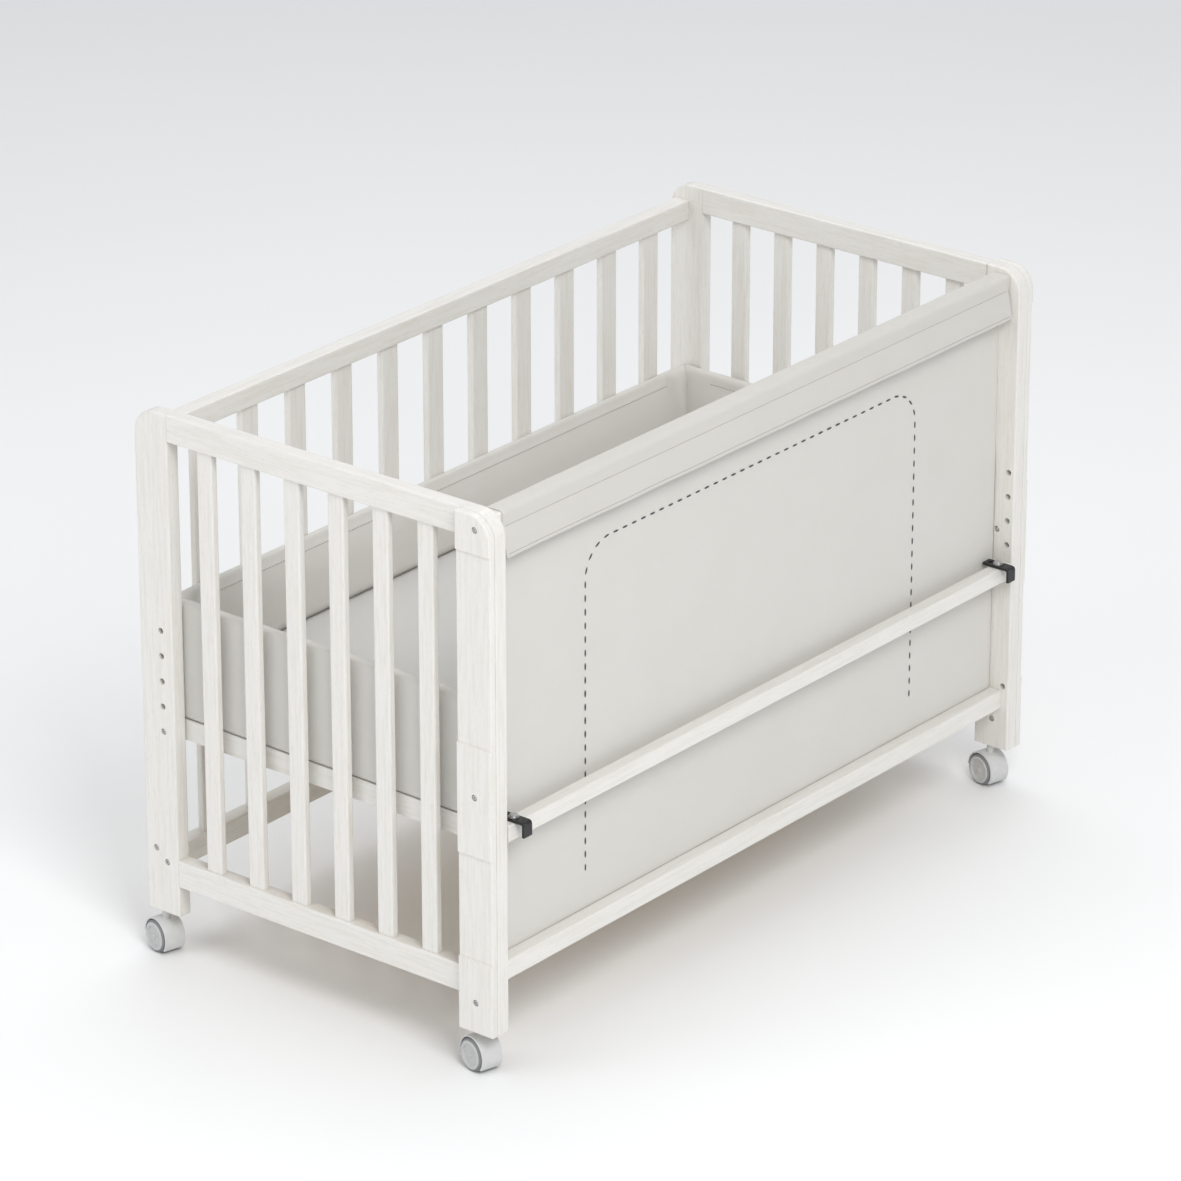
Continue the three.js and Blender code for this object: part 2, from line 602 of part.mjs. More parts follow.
// A pan-head bolt with its washer, down through the slot into the bar.
function hookBolt(side) {
  const centre = [hookX(side), hookBoltY];
  const seat = BAR_TOP_Z + JOINT_GAP + HOOK_THICK + JOINT_GAP;
  const head = seat + WASHER_THICK;
  const rim = head + HOOK_BOLT_RIM;
  const profile = [
    [0, BAR_TOP_Z - HOOK_BOLT_LENGTH],
    [HOOK_BOLT_RADIUS, BAR_TOP_Z - HOOK_BOLT_LENGTH],
    [HOOK_BOLT_RADIUS, seat],
    [WASHER_RADIUS, seat],
    [WASHER_RADIUS, head],
    [HOOK_BOLT_HEAD, head],
    [HOOK_BOLT_HEAD, rim],
    [HOOK_BOLT_FLAT, rim + HOOK_BOLT_CROWN],
    [0, rim + HOOK_BOLT_CROWN],
  ];
  const points = profile.map(([r, z]) => new THREE.Vector2(r, z));
  const geometry = new THREE.LatheGeometry(points, BOLT_SIDES);
  geometry.rotateX(Math.PI / 2);
  geometry.translate(centre[0], centre[1], 0);
  return solidOf(geometry);
}

// ---------------------------------------------------------------- casters

// The hood over both wheels with the web between them, the collar and the stem.
// Made with the swivel axis at X = Y = 0, the axle along X and standing at +TRAIL in Y.
function casterHood() {
  const axle = [TRAIL, WHEEL_RADIUS];
  const half = HOOD_WIDTH / 2;
  const web = CASTER_WIDTH / 2 - WHEEL_WIDTH - WEB_GAP;
  let solid = rod("x", axle, HOOD_RADIUS, -half, half, WHEEL_SIDES);
  const collarTop = FOOT_Z - JOINT_GAP;
  solid = solid.add(rod("z", [0, 0], STEM_COLLAR, HOOD_TOP_Z - COLLAR_SINK, collarTop, COLLAR_SIDES));
  for (const side of [-1, 1]) {
    const from = side < 0 ? -half - 1 : web;
    const room = rod("x", axle, HOOD_RADIUS - HOOD_WALL, from, from + half + 1 - web, WHEEL_SIDES);
    solid = solid.subtract(room);
  }
  const slope = Math.tan((HOOD_TILT * Math.PI) / 180);
  const reach = 2 * HOOD_RADIUS;
  const below = new THREE.Shape();
  const edge = (y) => WHEEL_RADIUS - HOOD_DROP + (y - TRAIL) * slope;
  below.moveTo(TRAIL - reach, -reach);
  below.lineTo(TRAIL + reach, -reach);
  below.lineTo(TRAIL + reach, edge(TRAIL + reach));
  below.lineTo(TRAIL - reach, edge(TRAIL - reach));
  below.closePath();
  solid = solid.subtract(along("x", below, -half - 1, half + 1));
  solid = solid.subtract(rod("x", axle, AXLE_RADIUS + JOINT_GAP, -half - 1, half + 1));
  return solid.add(rod("z", [0, 0], STEM_RADIUS, HOOD_TOP_Z, FOOT_Z + STEM_SOCKET));
}

// Both wheels on their axle, in the same frame as the hood.
function casterWheels() {
  const out = CASTER_WIDTH / 2;
  const face = out - HUB_PROUD;
  const inner = out - WHEEL_WIDTH;
  const r = WHEEL_RADIUS;
  const half = [
    [0, out],
    [r - HUB_IN, out],
    [r - HUB_IN + HUB_SLOPE, face],
    [r - WHEEL_BEVEL, face],
    [r, face - WHEEL_BEVEL],
    [r, inner + WHEEL_EDGE],
    [r - WHEEL_EDGE, inner],
    [AXLE_RADIUS, inner],
  ];
  const mirrored = half.map(([radius, x]) => [radius, -x]).reverse();
  const points = [...half, ...mirrored].map(([radius, x]) => new THREE.Vector2(radius, x)).reverse();
  const geometry = new THREE.LatheGeometry(points, WHEEL_SIDES);
  geometry.rotateZ(-Math.PI / 2);
  geometry.translate(0, TRAIL, WHEEL_RADIUS);
  return solidOf(geometry);
}

function addCasters() {
  for (const [side, word] of ENDS) {
    for (const [outward, row] of ROWS) {
      const [x, y] = stemPlace(side, outward);
      const placed = (solid) => solid.rotate([0, 0, CASTER_TURN]).translate([x, y, 0]);
      add(`caster_hood_${row}_${word}`, placed(casterHood()), HOOD);
      add(`caster_wheels_${row}_${word}`, placed(casterWheels()), TREAD);
    }
  }
}

// ---------------------------------------------------------------- the whole cot

for (const [side, word] of ENDS) {
  for (const [outward, row] of ROWS) add(`${row}_${word}_post`, post(side, outward), WOOD);
  addEnd(side, word);
  add(`${word}_doubler`, doubler(side), WOOD);
  add(`${word}_hook`, hook(side), STEEL);
  add(`${word}_hook_bolt`, hookBolt(side), SCREW);
}
addBack();
addFrontRails();
addPanel();
addSleeve();
addBase();
addMattress();
addBumper();
addBar();
addCasters();

export default cot;
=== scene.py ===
# %% [markdown]
# # A slatted bedside cot on casters
#
# The real object is a baby's cot that stands beside a bed. Two slatted ends and a slatted back are bolted
# together from lacquered beech. The front has a cloth panel instead of slats, hung from a rail in a padded
# sleeve. The bed base inside is bolted at one of five heights and carries a mattress and a padded bumper.
# Two slotted steel hooks hold the cot to the rail of the bed.
#
# The rigid frame is already exact, so it's loaded as it is. This lesson gives it finishes, and makes
# what a machinist's model leaves plain: cloth, padding, stitches, bolt heads and casters.

# %% Load the fixed frame
import json
import math

import bmesh
import bpy
from mathutils import Matrix, Vector, noise


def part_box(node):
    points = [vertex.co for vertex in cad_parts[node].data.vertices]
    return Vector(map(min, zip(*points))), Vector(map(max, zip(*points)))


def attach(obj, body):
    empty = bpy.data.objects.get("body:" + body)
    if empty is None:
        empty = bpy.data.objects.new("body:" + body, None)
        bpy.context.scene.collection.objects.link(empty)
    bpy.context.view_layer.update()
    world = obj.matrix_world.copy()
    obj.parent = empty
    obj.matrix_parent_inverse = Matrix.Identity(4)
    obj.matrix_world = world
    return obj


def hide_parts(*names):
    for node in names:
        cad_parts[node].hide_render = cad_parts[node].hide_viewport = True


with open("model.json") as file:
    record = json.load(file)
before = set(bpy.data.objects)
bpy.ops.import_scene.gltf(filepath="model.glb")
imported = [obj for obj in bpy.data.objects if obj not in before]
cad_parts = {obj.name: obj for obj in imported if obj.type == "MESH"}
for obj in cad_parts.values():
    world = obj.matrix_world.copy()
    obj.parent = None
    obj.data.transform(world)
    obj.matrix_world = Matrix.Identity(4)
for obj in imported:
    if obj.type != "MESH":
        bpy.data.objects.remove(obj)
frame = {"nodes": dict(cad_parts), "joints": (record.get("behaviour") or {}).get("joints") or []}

bpy.context.view_layer.update()
nodes = frame["nodes"]
MM = 0.001

# %% [markdown]
# ## Where things are
#
# Each place below is the side of a solid in the frame, so that every soft piece sits in the room that the
# frame leaves for it.


# %% Places read from the frame
def front(node):
    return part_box(node)[0].y


def back(node):
    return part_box(node)[1].y


def bottom(node):
    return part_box(node)[0].z


def top(node):
    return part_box(node)[1].z


POST_FRONT = front("front_left_post")
POST_BACK = back("back_left_post")
POST_FOOT = bottom("front_left_post")
POST_TOP = top("front_left_post")
OUTER_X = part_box("front_right_post")[1].x
INNER_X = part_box("front_right_post")[0].x
ENDS = ((-1, "left"), (1, "right"))
ROWS = ((-1, "front"), (1, "back"))
print("posts stand from", round(POST_FOOT, 4), "to", round(POST_TOP, 4), "inner faces at", round(INNER_X, 4))

# %% [markdown]
# ## Camera
#
# A long lens from far away keeps the posts nearly parallel. It could be aimed with a Track To constraint.
# A constraint would fight any other view, so the direction is worked out once and kept as an angle.

# %% A long lens above the left end of the front
CAMERA_PLACE = Vector((-6.648, -5.3295, 4.089))
CAMERA_BEARING = math.radians(51.2)
CAMERA_DIP = math.radians(23.09)
CAMERA_LENS = 188.8

camera = bpy.data.objects.new("camera", bpy.data.cameras.new("camera"))
bpy.context.scene.collection.objects.link(camera)
camera.data.sensor_width = 36
camera.data.lens = CAMERA_LENS
camera.data.clip_end = 100
level = math.cos(CAMERA_DIP)
sight = Vector((math.sin(CAMERA_BEARING) * level, math.cos(CAMERA_BEARING) * level, -math.sin(CAMERA_DIP)))
camera.location = CAMERA_PLACE
camera.rotation_euler = sight.to_track_quat("-Z", "Y").to_euler()
bpy.context.scene.camera = camera
print("the camera looks along", [round(part, 3) for part in sight])

# %% [markdown]
# ## Floor and light
#
# White lacquer on a white ground needs soft light from one side, or every edge disappears. One large area
# lamp gives each face its own grey, a weak one opens the shadows, and a pale sky fills the rest.


# %% A pale floor and three soft lights
def lamp(name, place, size, power):
    light = bpy.data.lights.new(name, "AREA")
    light.size = size
    light.energy = power
    holder = bpy.data.objects.new(name, light)
    holder.location = place
    holder.rotation_euler = (Vector((0, 0, 0.4)) - Vector(place)).to_track_quat("-Z", "Y").to_euler()
    bpy.context.scene.collection.objects.link(holder)


lamp("key_light", (-2.4, -3.6, 4.2), size=2.2, power=150)
lamp("fill_light", (-4.5, 2.5, 2.6), size=3.0, power=40)
lamp("top_light", (1.5, 1.0, 4.5), size=3.0, power=45)

sky = bpy.data.worlds.new("sky")
sky.use_nodes = True
sky.node_tree.nodes["Background"].inputs["Color"].default_value = (0.95, 0.97, 1.0, 1)
sky.node_tree.nodes["Background"].inputs["Strength"].default_value = 0.62
bpy.context.scene.world = sky
bpy.context.scene.view_settings.view_transform = "Standard"

floor_mesh = bpy.data.meshes.new("floor")
floor_shape = bmesh.new()
bmesh.ops.create_grid(floor_shape, x_segments=1, y_segments=1, size=45)
floor_shape.to_mesh(floor_mesh)
floor_shape.free()
floor = bpy.data.objects.new("floor", floor_mesh)
bpy.context.scene.collection.objects.link(floor)
print("floor of", floor.dimensions.x, "m")

# %% [markdown]
# ## A small language for finishes
#
# A finish is a network of shader nodes. Wiring one by hand takes ten lines for a simple sum, so a `Field`
# wraps a socket and takes Python's operators: `1 - mask * 0.5` adds the Math nodes by itself. Everything
# else comes from one method, `node`, which sets a node up and plugs in values or other fields.


# %% Fields and finishes
class Field:
    """A value that varies over a surface."""

    def __init__(self, finish, socket):
        self.finish = finish
        self.socket = socket

    def math(self, operation, *values):
        return self.finish.node("ShaderNodeMath", {"operation": operation}, dict(enumerate(values)))

    def __add__(self, other):
        return self.math("ADD", self, other)

    def __sub__(self, other):
        return self.math("SUBTRACT", self, other)

    def __rsub__(self, other):
        return self.math("SUBTRACT", other, self)

    def __mul__(self, other):
        return self.math("MULTIPLY", self, other)

    def __truediv__(self, other):
        return self.math("DIVIDE", self, other)

    __radd__ = __add__
    __rmul__ = __mul__

    def above(self, edge, soft):
        """0 below the edge and 1 above it, over a soft step."""
        return self.finish.node(
            "ShaderNodeMapRange",
            {"interpolation_type": "SMOOTHSTEP"},
            {"Value": self, "From Min": edge - soft, "From Max": edge + soft},
        )


class Finish:
    """A material, built up from nodes."""

    def __init__(self, name, roughness=0.5, **constants):
        self.material = bpy.data.materials.new(name)
        self.material.use_nodes = True
        self.tree = self.material.node_tree
        self.shader = self.tree.nodes["Principled BSDF"]
        self.put("Roughness", roughness)
        for key, value in constants.items():
            self.put(key.replace("_", " ").title(), value)

    def put(self, name, value):
        self.plug(self.shader.inputs[name], value)

    def plug(self, socket, value):
        if isinstance(value, Field):
            self.tree.links.new(value.socket, socket)
        elif isinstance(value, tuple) and len(value) == 3 and socket.type == "RGBA":
            socket.default_value = (*value, 1)
        else:
            socket.default_value = value

    def node(self, kind, settings=None, inputs=None, out=0):
        made = self.tree.nodes.new(kind)
        for key, value in (settings or {}).items():
            if key == "stops":
                self.set_stops(made.color_ramp.elements, value)
            else:
                setattr(made, key, value)
        for key, value in (inputs or {}).items():
            self.plug(made.inputs[key], value)
        return Field(self, made.outputs[out])

    def set_stops(self, elements, stops):
        for stop in stops[2:]:
            elements.new(stop[0])
        for element, (position, color) in zip(elements, stops):
            element.position = position
            element.color = (*color, 1)

    def mix(self, first, second, share):
        inputs = {"Factor": share, 6: first, 7: second}
        return self.node("ShaderNodeMix", {"data_type": "RGBA"}, inputs, out=2)

    def place(self, stretch=(1, 1, 1), turn=(0, 0, 0)):
        """Where a point is on the object, in millimetres, stretched or turned for a pattern."""
        spot = self.node("ShaderNodeTexCoord", out="Object")
        scale = tuple(1000 * part for part in stretch)
        return self.node("ShaderNodeMapping", {}, {"Vector": spot, "Scale": scale, "Rotation": turn})

    def uv(self, width, length):
        """Where a point is on the flat cloth, in millimetres."""
        spot = self.node("ShaderNodeTexCoord", out="UV")
        return self.node("ShaderNodeMapping", {}, {"Vector": spot, "Scale": (width * 1000, length * 1000, 1)})

    def parts(self, vector):
        split = self.node("ShaderNodeSeparateXYZ", {}, {0: vector})
        node = split.socket.node
        return [Field(self, node.outputs[index]) for index in range(3)]

    def noise(self, vector, size, detail=3, rough=0.5):
        """Cloudy values about 0.5, whose features are about as many millimetres across as size says."""
        inputs = {"Vector": vector, "Scale": 1 / size, "Detail": detail, "Roughness": rough}
        return self.node("ShaderNodeTexNoise", {}, inputs)

    def bump(self, height, depth):
        """Tilts the surface as if height, from 0 to 1, stood so many millimetres deep."""
        inputs = {"Strength": 1.0, "Distance": depth * MM, "Height": height}
        self.put("Normal", self.node("ShaderNodeBump", {}, inputs, out="Normal"))


def dress(piece, finish):
    """Gives a piece one finish all over."""
    if piece.data.materials:
        for index in range(len(piece.data.materials)):
            piece.data.materials[index] = finish.material
    else:
        piece.data.materials.append(finish.material)


floor_finish = Finish("floor_paint", roughness=0.7)
floor_drift = floor_finish.noise(floor_finish.place(), 900, detail=2)
floor_finish.put("Base Color", floor_finish.mix((0.95, 0.95, 0.945), (0.925, 0.925, 0.92), floor_drift))
dress(floor, floor_finish)
print("floor painted")

# %% [markdown]
# ## Lacquered beech
#
# Beech has long, faint growth lines and many short dark flecks, the ends of its rays. Both run with the
# grain, so the pattern is stretched along each board. White lacquer lets a little of it through, and it
# is rubbed thinner on the edges, where the wood shows warmer. One function makes the three directions.


# %% White lacquer over beech, one finish for each direction of the grain
GRAIN_STRETCH = 0.06
LACQUER = (0.80, 0.785, 0.75)
GROWTH_LINE = (0.70, 0.665, 0.60)
RAY_FLECK = (0.60, 0.53, 0.44)
RUBBED_EDGE = (0.66, 0.58, 0.47)


def lacquered_beech(name, axis):
    finish = Finish(name, coat_roughness=0.12)
    along = tuple(GRAIN_STRETCH if index == axis else 1 for index in range(3))
    board = finish.place(along)
    lines = finish.noise(board, 5, detail=5, rough=0.6).above(0.54, 0.12)
    cloud = finish.noise(board, 22, detail=2)
    flecks = finish.noise(finish.place(tuple(4 * part for part in along)), 3.2, detail=1).above(0.66, 0.04)
    color = finish.mix(LACQUER, GROWTH_LINE, lines * 0.42 + cloud * 0.22)
    color = finish.mix(color, RAY_FLECK, flecks * 0.30)
    softened = finish.node("ShaderNodeBevel", {"samples": 4}, {"Radius": 2.2 * MM})
    facing = finish.node("ShaderNodeNewGeometry", out="Normal")
    sides = {0: softened, 1: facing}
    flush = finish.node("ShaderNodeVectorMath", {"operation": "DOT_PRODUCT"}, sides, out="Value")
    worn = (1 - flush).above(0.16, 0.14) * finish.noise(finish.place(), 14).above(0.52, 0.14)
    finish.put("Base Color", finish.mix(color, RUBBED_EDGE, worn * 0.38))
    finish.put("Roughness", 0.36 + 0.14 * cloud + 0.10 * flecks)
    finish.put("Coat Weight", 0.35 - 0.2 * worn)
    finish.bump(lines * 0.6 + flecks * 0.5 + finish.noise(finish.place(), 1.6) * 0.25, 0.10)
    return finish


BEECH = {axis: lacquered_beech(f"lacquered_beech_{axis}", index) for index, axis in enumerate("xyz")}


def grain_of(node):
    low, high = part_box(node)
    size = high - low
    return "xyz"[max(range(3), key=lambda index: size[index])]


for name, solid in nodes.items():
    if solid.data.materials[0].name.startswith("lacquered_wood"):
        dress(solid, BEECH[grain_of(name)])
beech_names = [node.data.materials[0].name for node in nodes.values()]
print("beech on", sum(name.startswith("lacquered_beech") for name in beech_names), "pieces")

# %% [markdown]
# ## Plywood, steel and zinc
#
# The base plate is birch plywood with its face grain along the cot. The hooks are steel strap under
# black powder coat, which has the fine dimples of an orange skin. The bolts are zinc, with a soft
# bluish bloom and a rougher patch here and there.


# %% Finishes of the plate and the fittings
def birch_plywood():
    finish = Finish("birch_plywood")
    board = finish.place((GRAIN_STRETCH, 1, 1))
    rings = finish.noise(board, 16, detail=4, rough=0.65)
    pores = finish.noise(finish.place((0.1, 2, 2)), 2).above(0.62, 0.05)
    color = finish.mix((0.62, 0.46, 0.28), (0.74, 0.60, 0.41), rings.above(0.48, 0.2))
    finish.put("Base Color", finish.mix(color, (0.45, 0.31, 0.17), pores * 0.4))
    finish.put("Roughness", 0.5 + 0.2 * rings)
    finish.bump(pores + rings * 0.4, 0.12)
    return finish


def powder_coat():
    finish = Finish("black_powder_coat")
    spot = finish.place()
    dimples = finish.noise(spot, 0.9, detail=2)
    rubbed = finish.noise(spot, 6, detail=4).above(0.66, 0.05)
    finish.put("Base Color", finish.mix((0.012, 0.012, 0.014), (0.06, 0.06, 0.062), rubbed))
    finish.put("Roughness", 0.34 + 0.18 * dimples)
    finish.bump(dimples, 0.08)
    return finish


def zinc():
    finish = Finish("zinc_plate", metallic=1.0)
    spot = finish.place()
    bloom = finish.noise(spot, 3, detail=3)
    finish.put("Base Color", finish.mix((0.50, 0.51, 0.54), (0.68, 0.67, 0.64), bloom))
    finish.put("Roughness", 0.26 + 0.22 * bloom)
    finish.bump(finish.noise(spot, 0.4, detail=2), 0.03)
    return finish


PLYWOOD = birch_plywood()
POWDER_COAT = powder_coat()
ZINC = zinc()
dress(nodes["base_plate"], PLYWOOD)
for _, word in ENDS:
    dress(nodes[f"{word}_hook"], POWDER_COAT)
    dress(nodes[f"{word}_hook_bolt"], ZINC)
print("plate, hooks and hook bolts finished")

# %% [markdown]
# ## Woven cloth
#
# A plain weave is a checkerboard of little arches: where the warp goes over, the arch runs one way, and
# in the next square it runs the other. Working that out from the flat cloth's own coordinates makes the
# threads follow every fold. Slow changes of tone keep a large panel from looking printed.


# %% One weave for every cloth
def weave(finish, across, along, thread):
    """The height of a plain weave of threads so many millimetres wide, from 0 to 1."""
    rounds = []
    squares = []
    for position in (across, along):
        steps = position / thread
        part = finish.node("ShaderNodeMath", {"operation": "FRACT"}, {0: steps})
        rounds.append(4 * part * (1 - part))
        squares.append(finish.node("ShaderNodeMath", {"operation": "FLOOR"}, {0: steps}))
    square_sum = squares[0] + squares[1]
    pair = finish.node("ShaderNodeMath", {"operation": "FLOORED_MODULO"}, {0: square_sum, 1: 2.0})
    return pair * rounds[0] + (1 - pair) * rounds[1]


def cotton(name, flat, thread, light, dark, depth=0.25, sheen=0.25):
    """A cotton weave. flat(finish) gives the two places on the cloth that its threads follow."""
    finish = Finish(name, sheen_weight=sheen, sheen_roughness=0.5)
    across, along = flat(finish)
    threads = weave(finish, across, along, thread)
    slub = finish.noise(finish.place((0.15, 0.15, 1.4)), 2.5, detail=2)
    tone = finish.noise(finish.place(), 90, detail=4)
    # The gaps between the threads are painted darker as painted shade. Slub and the slow tone are the cloth's
    # own colour.
    gap_shade_and_tone = (1 - threads) * 0.45 + slub * 0.2 + tone * 0.35
    finish.put("Base Color", finish.mix(light, dark, gap_shade_and_tone))
    finish.put("Roughness", 0.82 + 0.1 * slub)
    finish.bump(threads + slub * 0.5, depth)
    return finish


def cut_places(finish, width, length):
    """Across and along a flat cut, in millimetres."""
    across, along, _ = finish.parts(finish.uv(width, length))
    return across, along


def wall_places(finish):
    """Round and up a wall that stands along X or Y, in millimetres."""
    x, y, z = finish.parts(finish.place())
    return x + y, z


print("weave ready")

# %% [markdown]
# ## Cloth cut flat, then bent into place
#
# A tailor cuts a rectangle and folds it. `create_grid` makes the same rectangle with its flat coordinates,
# and a function then says where each point of the cut ends up. Extruding a section would give the same
# shape, but not the flat coordinates that the weave needs.


# %% A cloth from a flat cut
def link(name, mesh):
    piece = bpy.data.objects.new(name, mesh)
    bpy.context.scene.collection.objects.link(piece)
    return piece


def cut_cloth(name, width, length, step, bend):
    """A width by length rectangle in squares of about one step, each point moved by bend(u, v) in metres."""
    sheet = bmesh.new()
    sheet.loops.layers.uv.new("flat")
    columns = round(width / step)
    rows = round(length / step)
    bmesh.ops.create_grid(sheet, x_segments=columns, y_segments=rows, size=0.5, calc_uvs=True)
    for point in sheet.verts:
        point.co = bend((point.co.x + 0.5) * width, (point.co.y + 0.5) * length)
    for face in sheet.faces:
        face.smooth = True
    mesh = bpy.data.meshes.new(name)
    sheet.to_mesh(mesh)
    sheet.free()
    print(name, len(mesh.polygons), "faces")
    return link(name, mesh)


def give_thickness(piece, thickness, levels=1):
    """Wall on both sides of the sheet, then a smoother surface."""
    wall = piece.modifiers.new("thickness", "SOLIDIFY")
    wall.thickness = thickness
    wall.offset = 0
    smooth = piece.modifiers.new("smooth", "SUBSURF")
    smooth.levels = levels
    smooth.render_levels = levels


def ripple(place, size, seed):
    """Smooth seeded noise from -1 to 1, with features of about that size in metres."""
    return noise.noise(Vector(place) / size + Vector((seed * 17.3, seed * 5.1, seed * 9.7)))


# %% [markdown]
# ## The front panel
#
# The panel is canvas, stretched from post to post and hung under the sleeve. A stretched cloth isn't
# perfectly flat: it breathes a little between its edges and has shallow vertical draws where it is held.
# The moves are a few millimetres, so vertex moves are quicker and steadier than a simulation.

# %% Canvas panel between the front rails
panel_low, panel_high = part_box("front_panel")
PANEL_WIDTH = panel_high.x - panel_low.x
PANEL_HEIGHT = panel_high.z - panel_low.z
PANEL_Y = (panel_low.y + panel_high.y) / 2
CANVAS_THICK = 1.1 * MM
BILLOW = 1.6 * MM
WIDE_DRAW = 1.3 * MM
NARROW_DRAW = 0.8 * MM


def panel_depth(x, z):
    """How far the stretched canvas stands behind its middle plane."""
    u = (x - panel_low.x) / PANEL_WIDTH
    v = (z - panel_low.z) / PANEL_HEIGHT
    held = math.sin(math.pi * min(max(u, 0), 1)) ** 0.5 * math.sin(math.pi * min(max(v, 0), 1)) ** 0.5
    billow = BILLOW * math.sin(math.pi * u)
    draws = WIDE_DRAW * ripple((x, 0, z * 0.25), 0.11, 1) + NARROW_DRAW * ripple((x, 0, z * 0.5), 0.035, 2)
    return PANEL_Y + held * (billow * 0.5 + draws)


def panel_bend(u, v):
    x = panel_low.x + u
    z = panel_low.z + v
    return Vector((x, panel_depth(x, z), z))


panel = cut_cloth("panel_canvas", PANEL_WIDTH, PANEL_HEIGHT, 9 * MM, panel_bend)
give_thickness(panel, CANVAS_THICK)
CANVAS = cotton(
    "panel_canvas", lambda finish: cut_places(finish, PANEL_WIDTH, PANEL_HEIGHT), 0.9,
    (0.82, 0.80, 0.755), (0.71, 0.685, 0.63),
)
dress(panel, CANVAS)
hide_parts("front_panel")
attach(panel, "frame")
print("panel", round(PANEL_WIDTH, 3), "by", round(PANEL_HEIGHT, 3))

# %% [markdown]
# ## The stitched arch
#
# A bold running stitch in dark thread draws an arch on the panel, open at the bottom. Each stitch is a
# small flattened bead of thread, made once and repeated along a path. Drawing it in the material would be
# cheaper, but real thread catches the light and stands off the cloth.


# %% A running stitch along any path
ALONG_X = Matrix.Rotation(math.pi / 2, 4, "Y")


def along_path(points):
    """The lengths from the start of a path to each of its points."""
    reached = [0.0]
    for one, two in zip(points, points[1:]):
        reached.append(reached[-1] + (two - one).length)
    return reached


def at_length(points, reached, wanted):
    """The point at a length along a path, and the direction there."""
    for index in range(len(points) - 1):
        if reached[index + 1] >= wanted:
            step = points[index + 1] - points[index]
            share = (wanted - reached[index]) / max(reached[index + 1] - reached[index], 1e-9)
            return points[index] + step * share, step.normalized()
    return points[-1], (points[-1] - points[-2]).normalized()


def bead(length, width):
    """One stitch along X, flattened in Z."""
    stitch = bmesh.new()
    bmesh.ops.create_uvsphere(stitch, u_segments=8, v_segments=5, radius=1, matrix=ALONG_X)
    bmesh.ops.scale(stitch, verts=stitch.verts, vec=(length / 2, width / 2, width * 0.32))
    mesh = bpy.data.meshes.new("stitch")
    stitch.to_mesh(mesh)
    stitch.free()
    return mesh


def running_stitch(name, paths, length, gap, width, outward):
    """Beads of thread along paths, on a surface whose outside is given."""
    one = bead(length, width)
    count_each = len(one.vertices)
    beads = bmesh.new()
    for points in paths:
        reached = along_path(points)
        count = int((reached[-1] + gap) / (length + gap))
        start = (reached[-1] - count * (length + gap) + gap + length) / 2
        for index in range(count):
            spot, direction = at_length(points, reached, start + index * (length + gap))
            side = outward(spot).cross(direction).normalized()
            up = direction.cross(side)
            turn = Matrix((direction, side, up)).transposed().to_4x4()
            beads.from_mesh(one)
            beads.verts.ensure_lookup_table()
            for point in beads.verts[-count_each:]:
                point.co = Matrix.Translation(spot) @ turn @ point.co
    for face in beads.faces:
        face.smooth = True
    mesh = bpy.data.meshes.new(name)
    beads.to_mesh(mesh)
    beads.free()
    print(name, len(mesh.polygons), "faces")
    return link(name, mesh)


def twisted_thread(name, light, dark):
    finish = Finish(name, sheen_weight=0.3)
    spot = finish.place()
    x, y, z = finish.parts(spot)
    twist_and_groove_shade = finish.node("ShaderNodeMath", {"operation": "SINE"}, {0: (x + y + z) * 5.0}) * 0.5 + 0.5
    # The grooves of the twist are painted darker as painted shade. The same values also tilt the surface.
    finish.put("Base Color", finish.mix(dark, light, twist_and_groove_shade))
    finish.put("Roughness", 0.6 + 0.2 * finish.noise(spot, 2))
    finish.bump(twist_and_groove_shade, 0.12)
    return finish


DARK_THREAD = twisted_thread("dark_thread", (0.075, 0.075, 0.08), (0.02, 0.02, 0.022))
GREY_THREAD = twisted_thread("grey_thread", (0.42, 0.41, 0.395), (0.27, 0.26, 0.25))

ARCH_HALF = 394 * MM
ARCH_FOOT = POST_FOOT + 155 * MM
ARCH_TOP = POST_FOOT + 666 * MM
ARCH_CORNER = 55 * MM
CORNER_STEPS = 12


def arch_outline():
    """The arch in X and Z, from its left foot round to its right one."""
    outline = [(-ARCH_HALF, ARCH_FOOT)]
    for side in (-1, 1):
        centre = (side * (ARCH_HALF - ARCH_CORNER), ARCH_TOP - ARCH_CORNER)
        for step in range(CORNER_STEPS + 1):
            turn = math.pi - (step / CORNER_STEPS) * math.pi / 2 - (0 if side < 0 else math.pi / 2)
            across, up = ARCH_CORNER * math.cos(turn), ARCH_CORNER * math.sin(turn)
            outline.append((centre[0] + across, centre[1] + up))
    outline.append((ARCH_HALF, ARCH_FOOT))
    return outline


def on_panel(x, z):
    return Vector((x, panel_depth(x, z) - CANVAS_THICK / 2 - 0.25 * MM, z))


arch = running_stitch(
    "panel_arch_stitches", [[on_panel(x, z) for x, z in arch_outline()]],
    length=11.5 * MM, gap=9.5 * MM, width=3.2 * MM, outward=lambda spot: Vector((0, -1, 0)),
)
dress(arch, DARK_THREAD)
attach(arch, "frame")

# %% [markdown]
# ## The rail sleeve
#
# A thick cloth is wrapped round the front rail and sewn to itself along the rail's lower front edge.
# What is left of it hangs down as a flap and hides the top of the panel. Its cut is one long rectangle:
# flap first, then up the front, over, down the back and under, to the seam.

# %% Section of the sleeve, and the cut bent round it
sleeve_low, sleeve_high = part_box("rail_sleeve")
rail_low, rail_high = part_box("front_top_rail")
SLEEVE_THICK = 1.8 * MM
SLEEVE_OFF = 0.3 * MM + SLEEVE_THICK / 2
SEAM = Vector((rail_low.y - SLEEVE_OFF, rail_low.z - SLEEVE_OFF))
FLAP_HEM = Vector((sleeve_low.y + SLEEVE_THICK / 2, sleeve_low.z))
WRAP_CORNER = 4 * MM


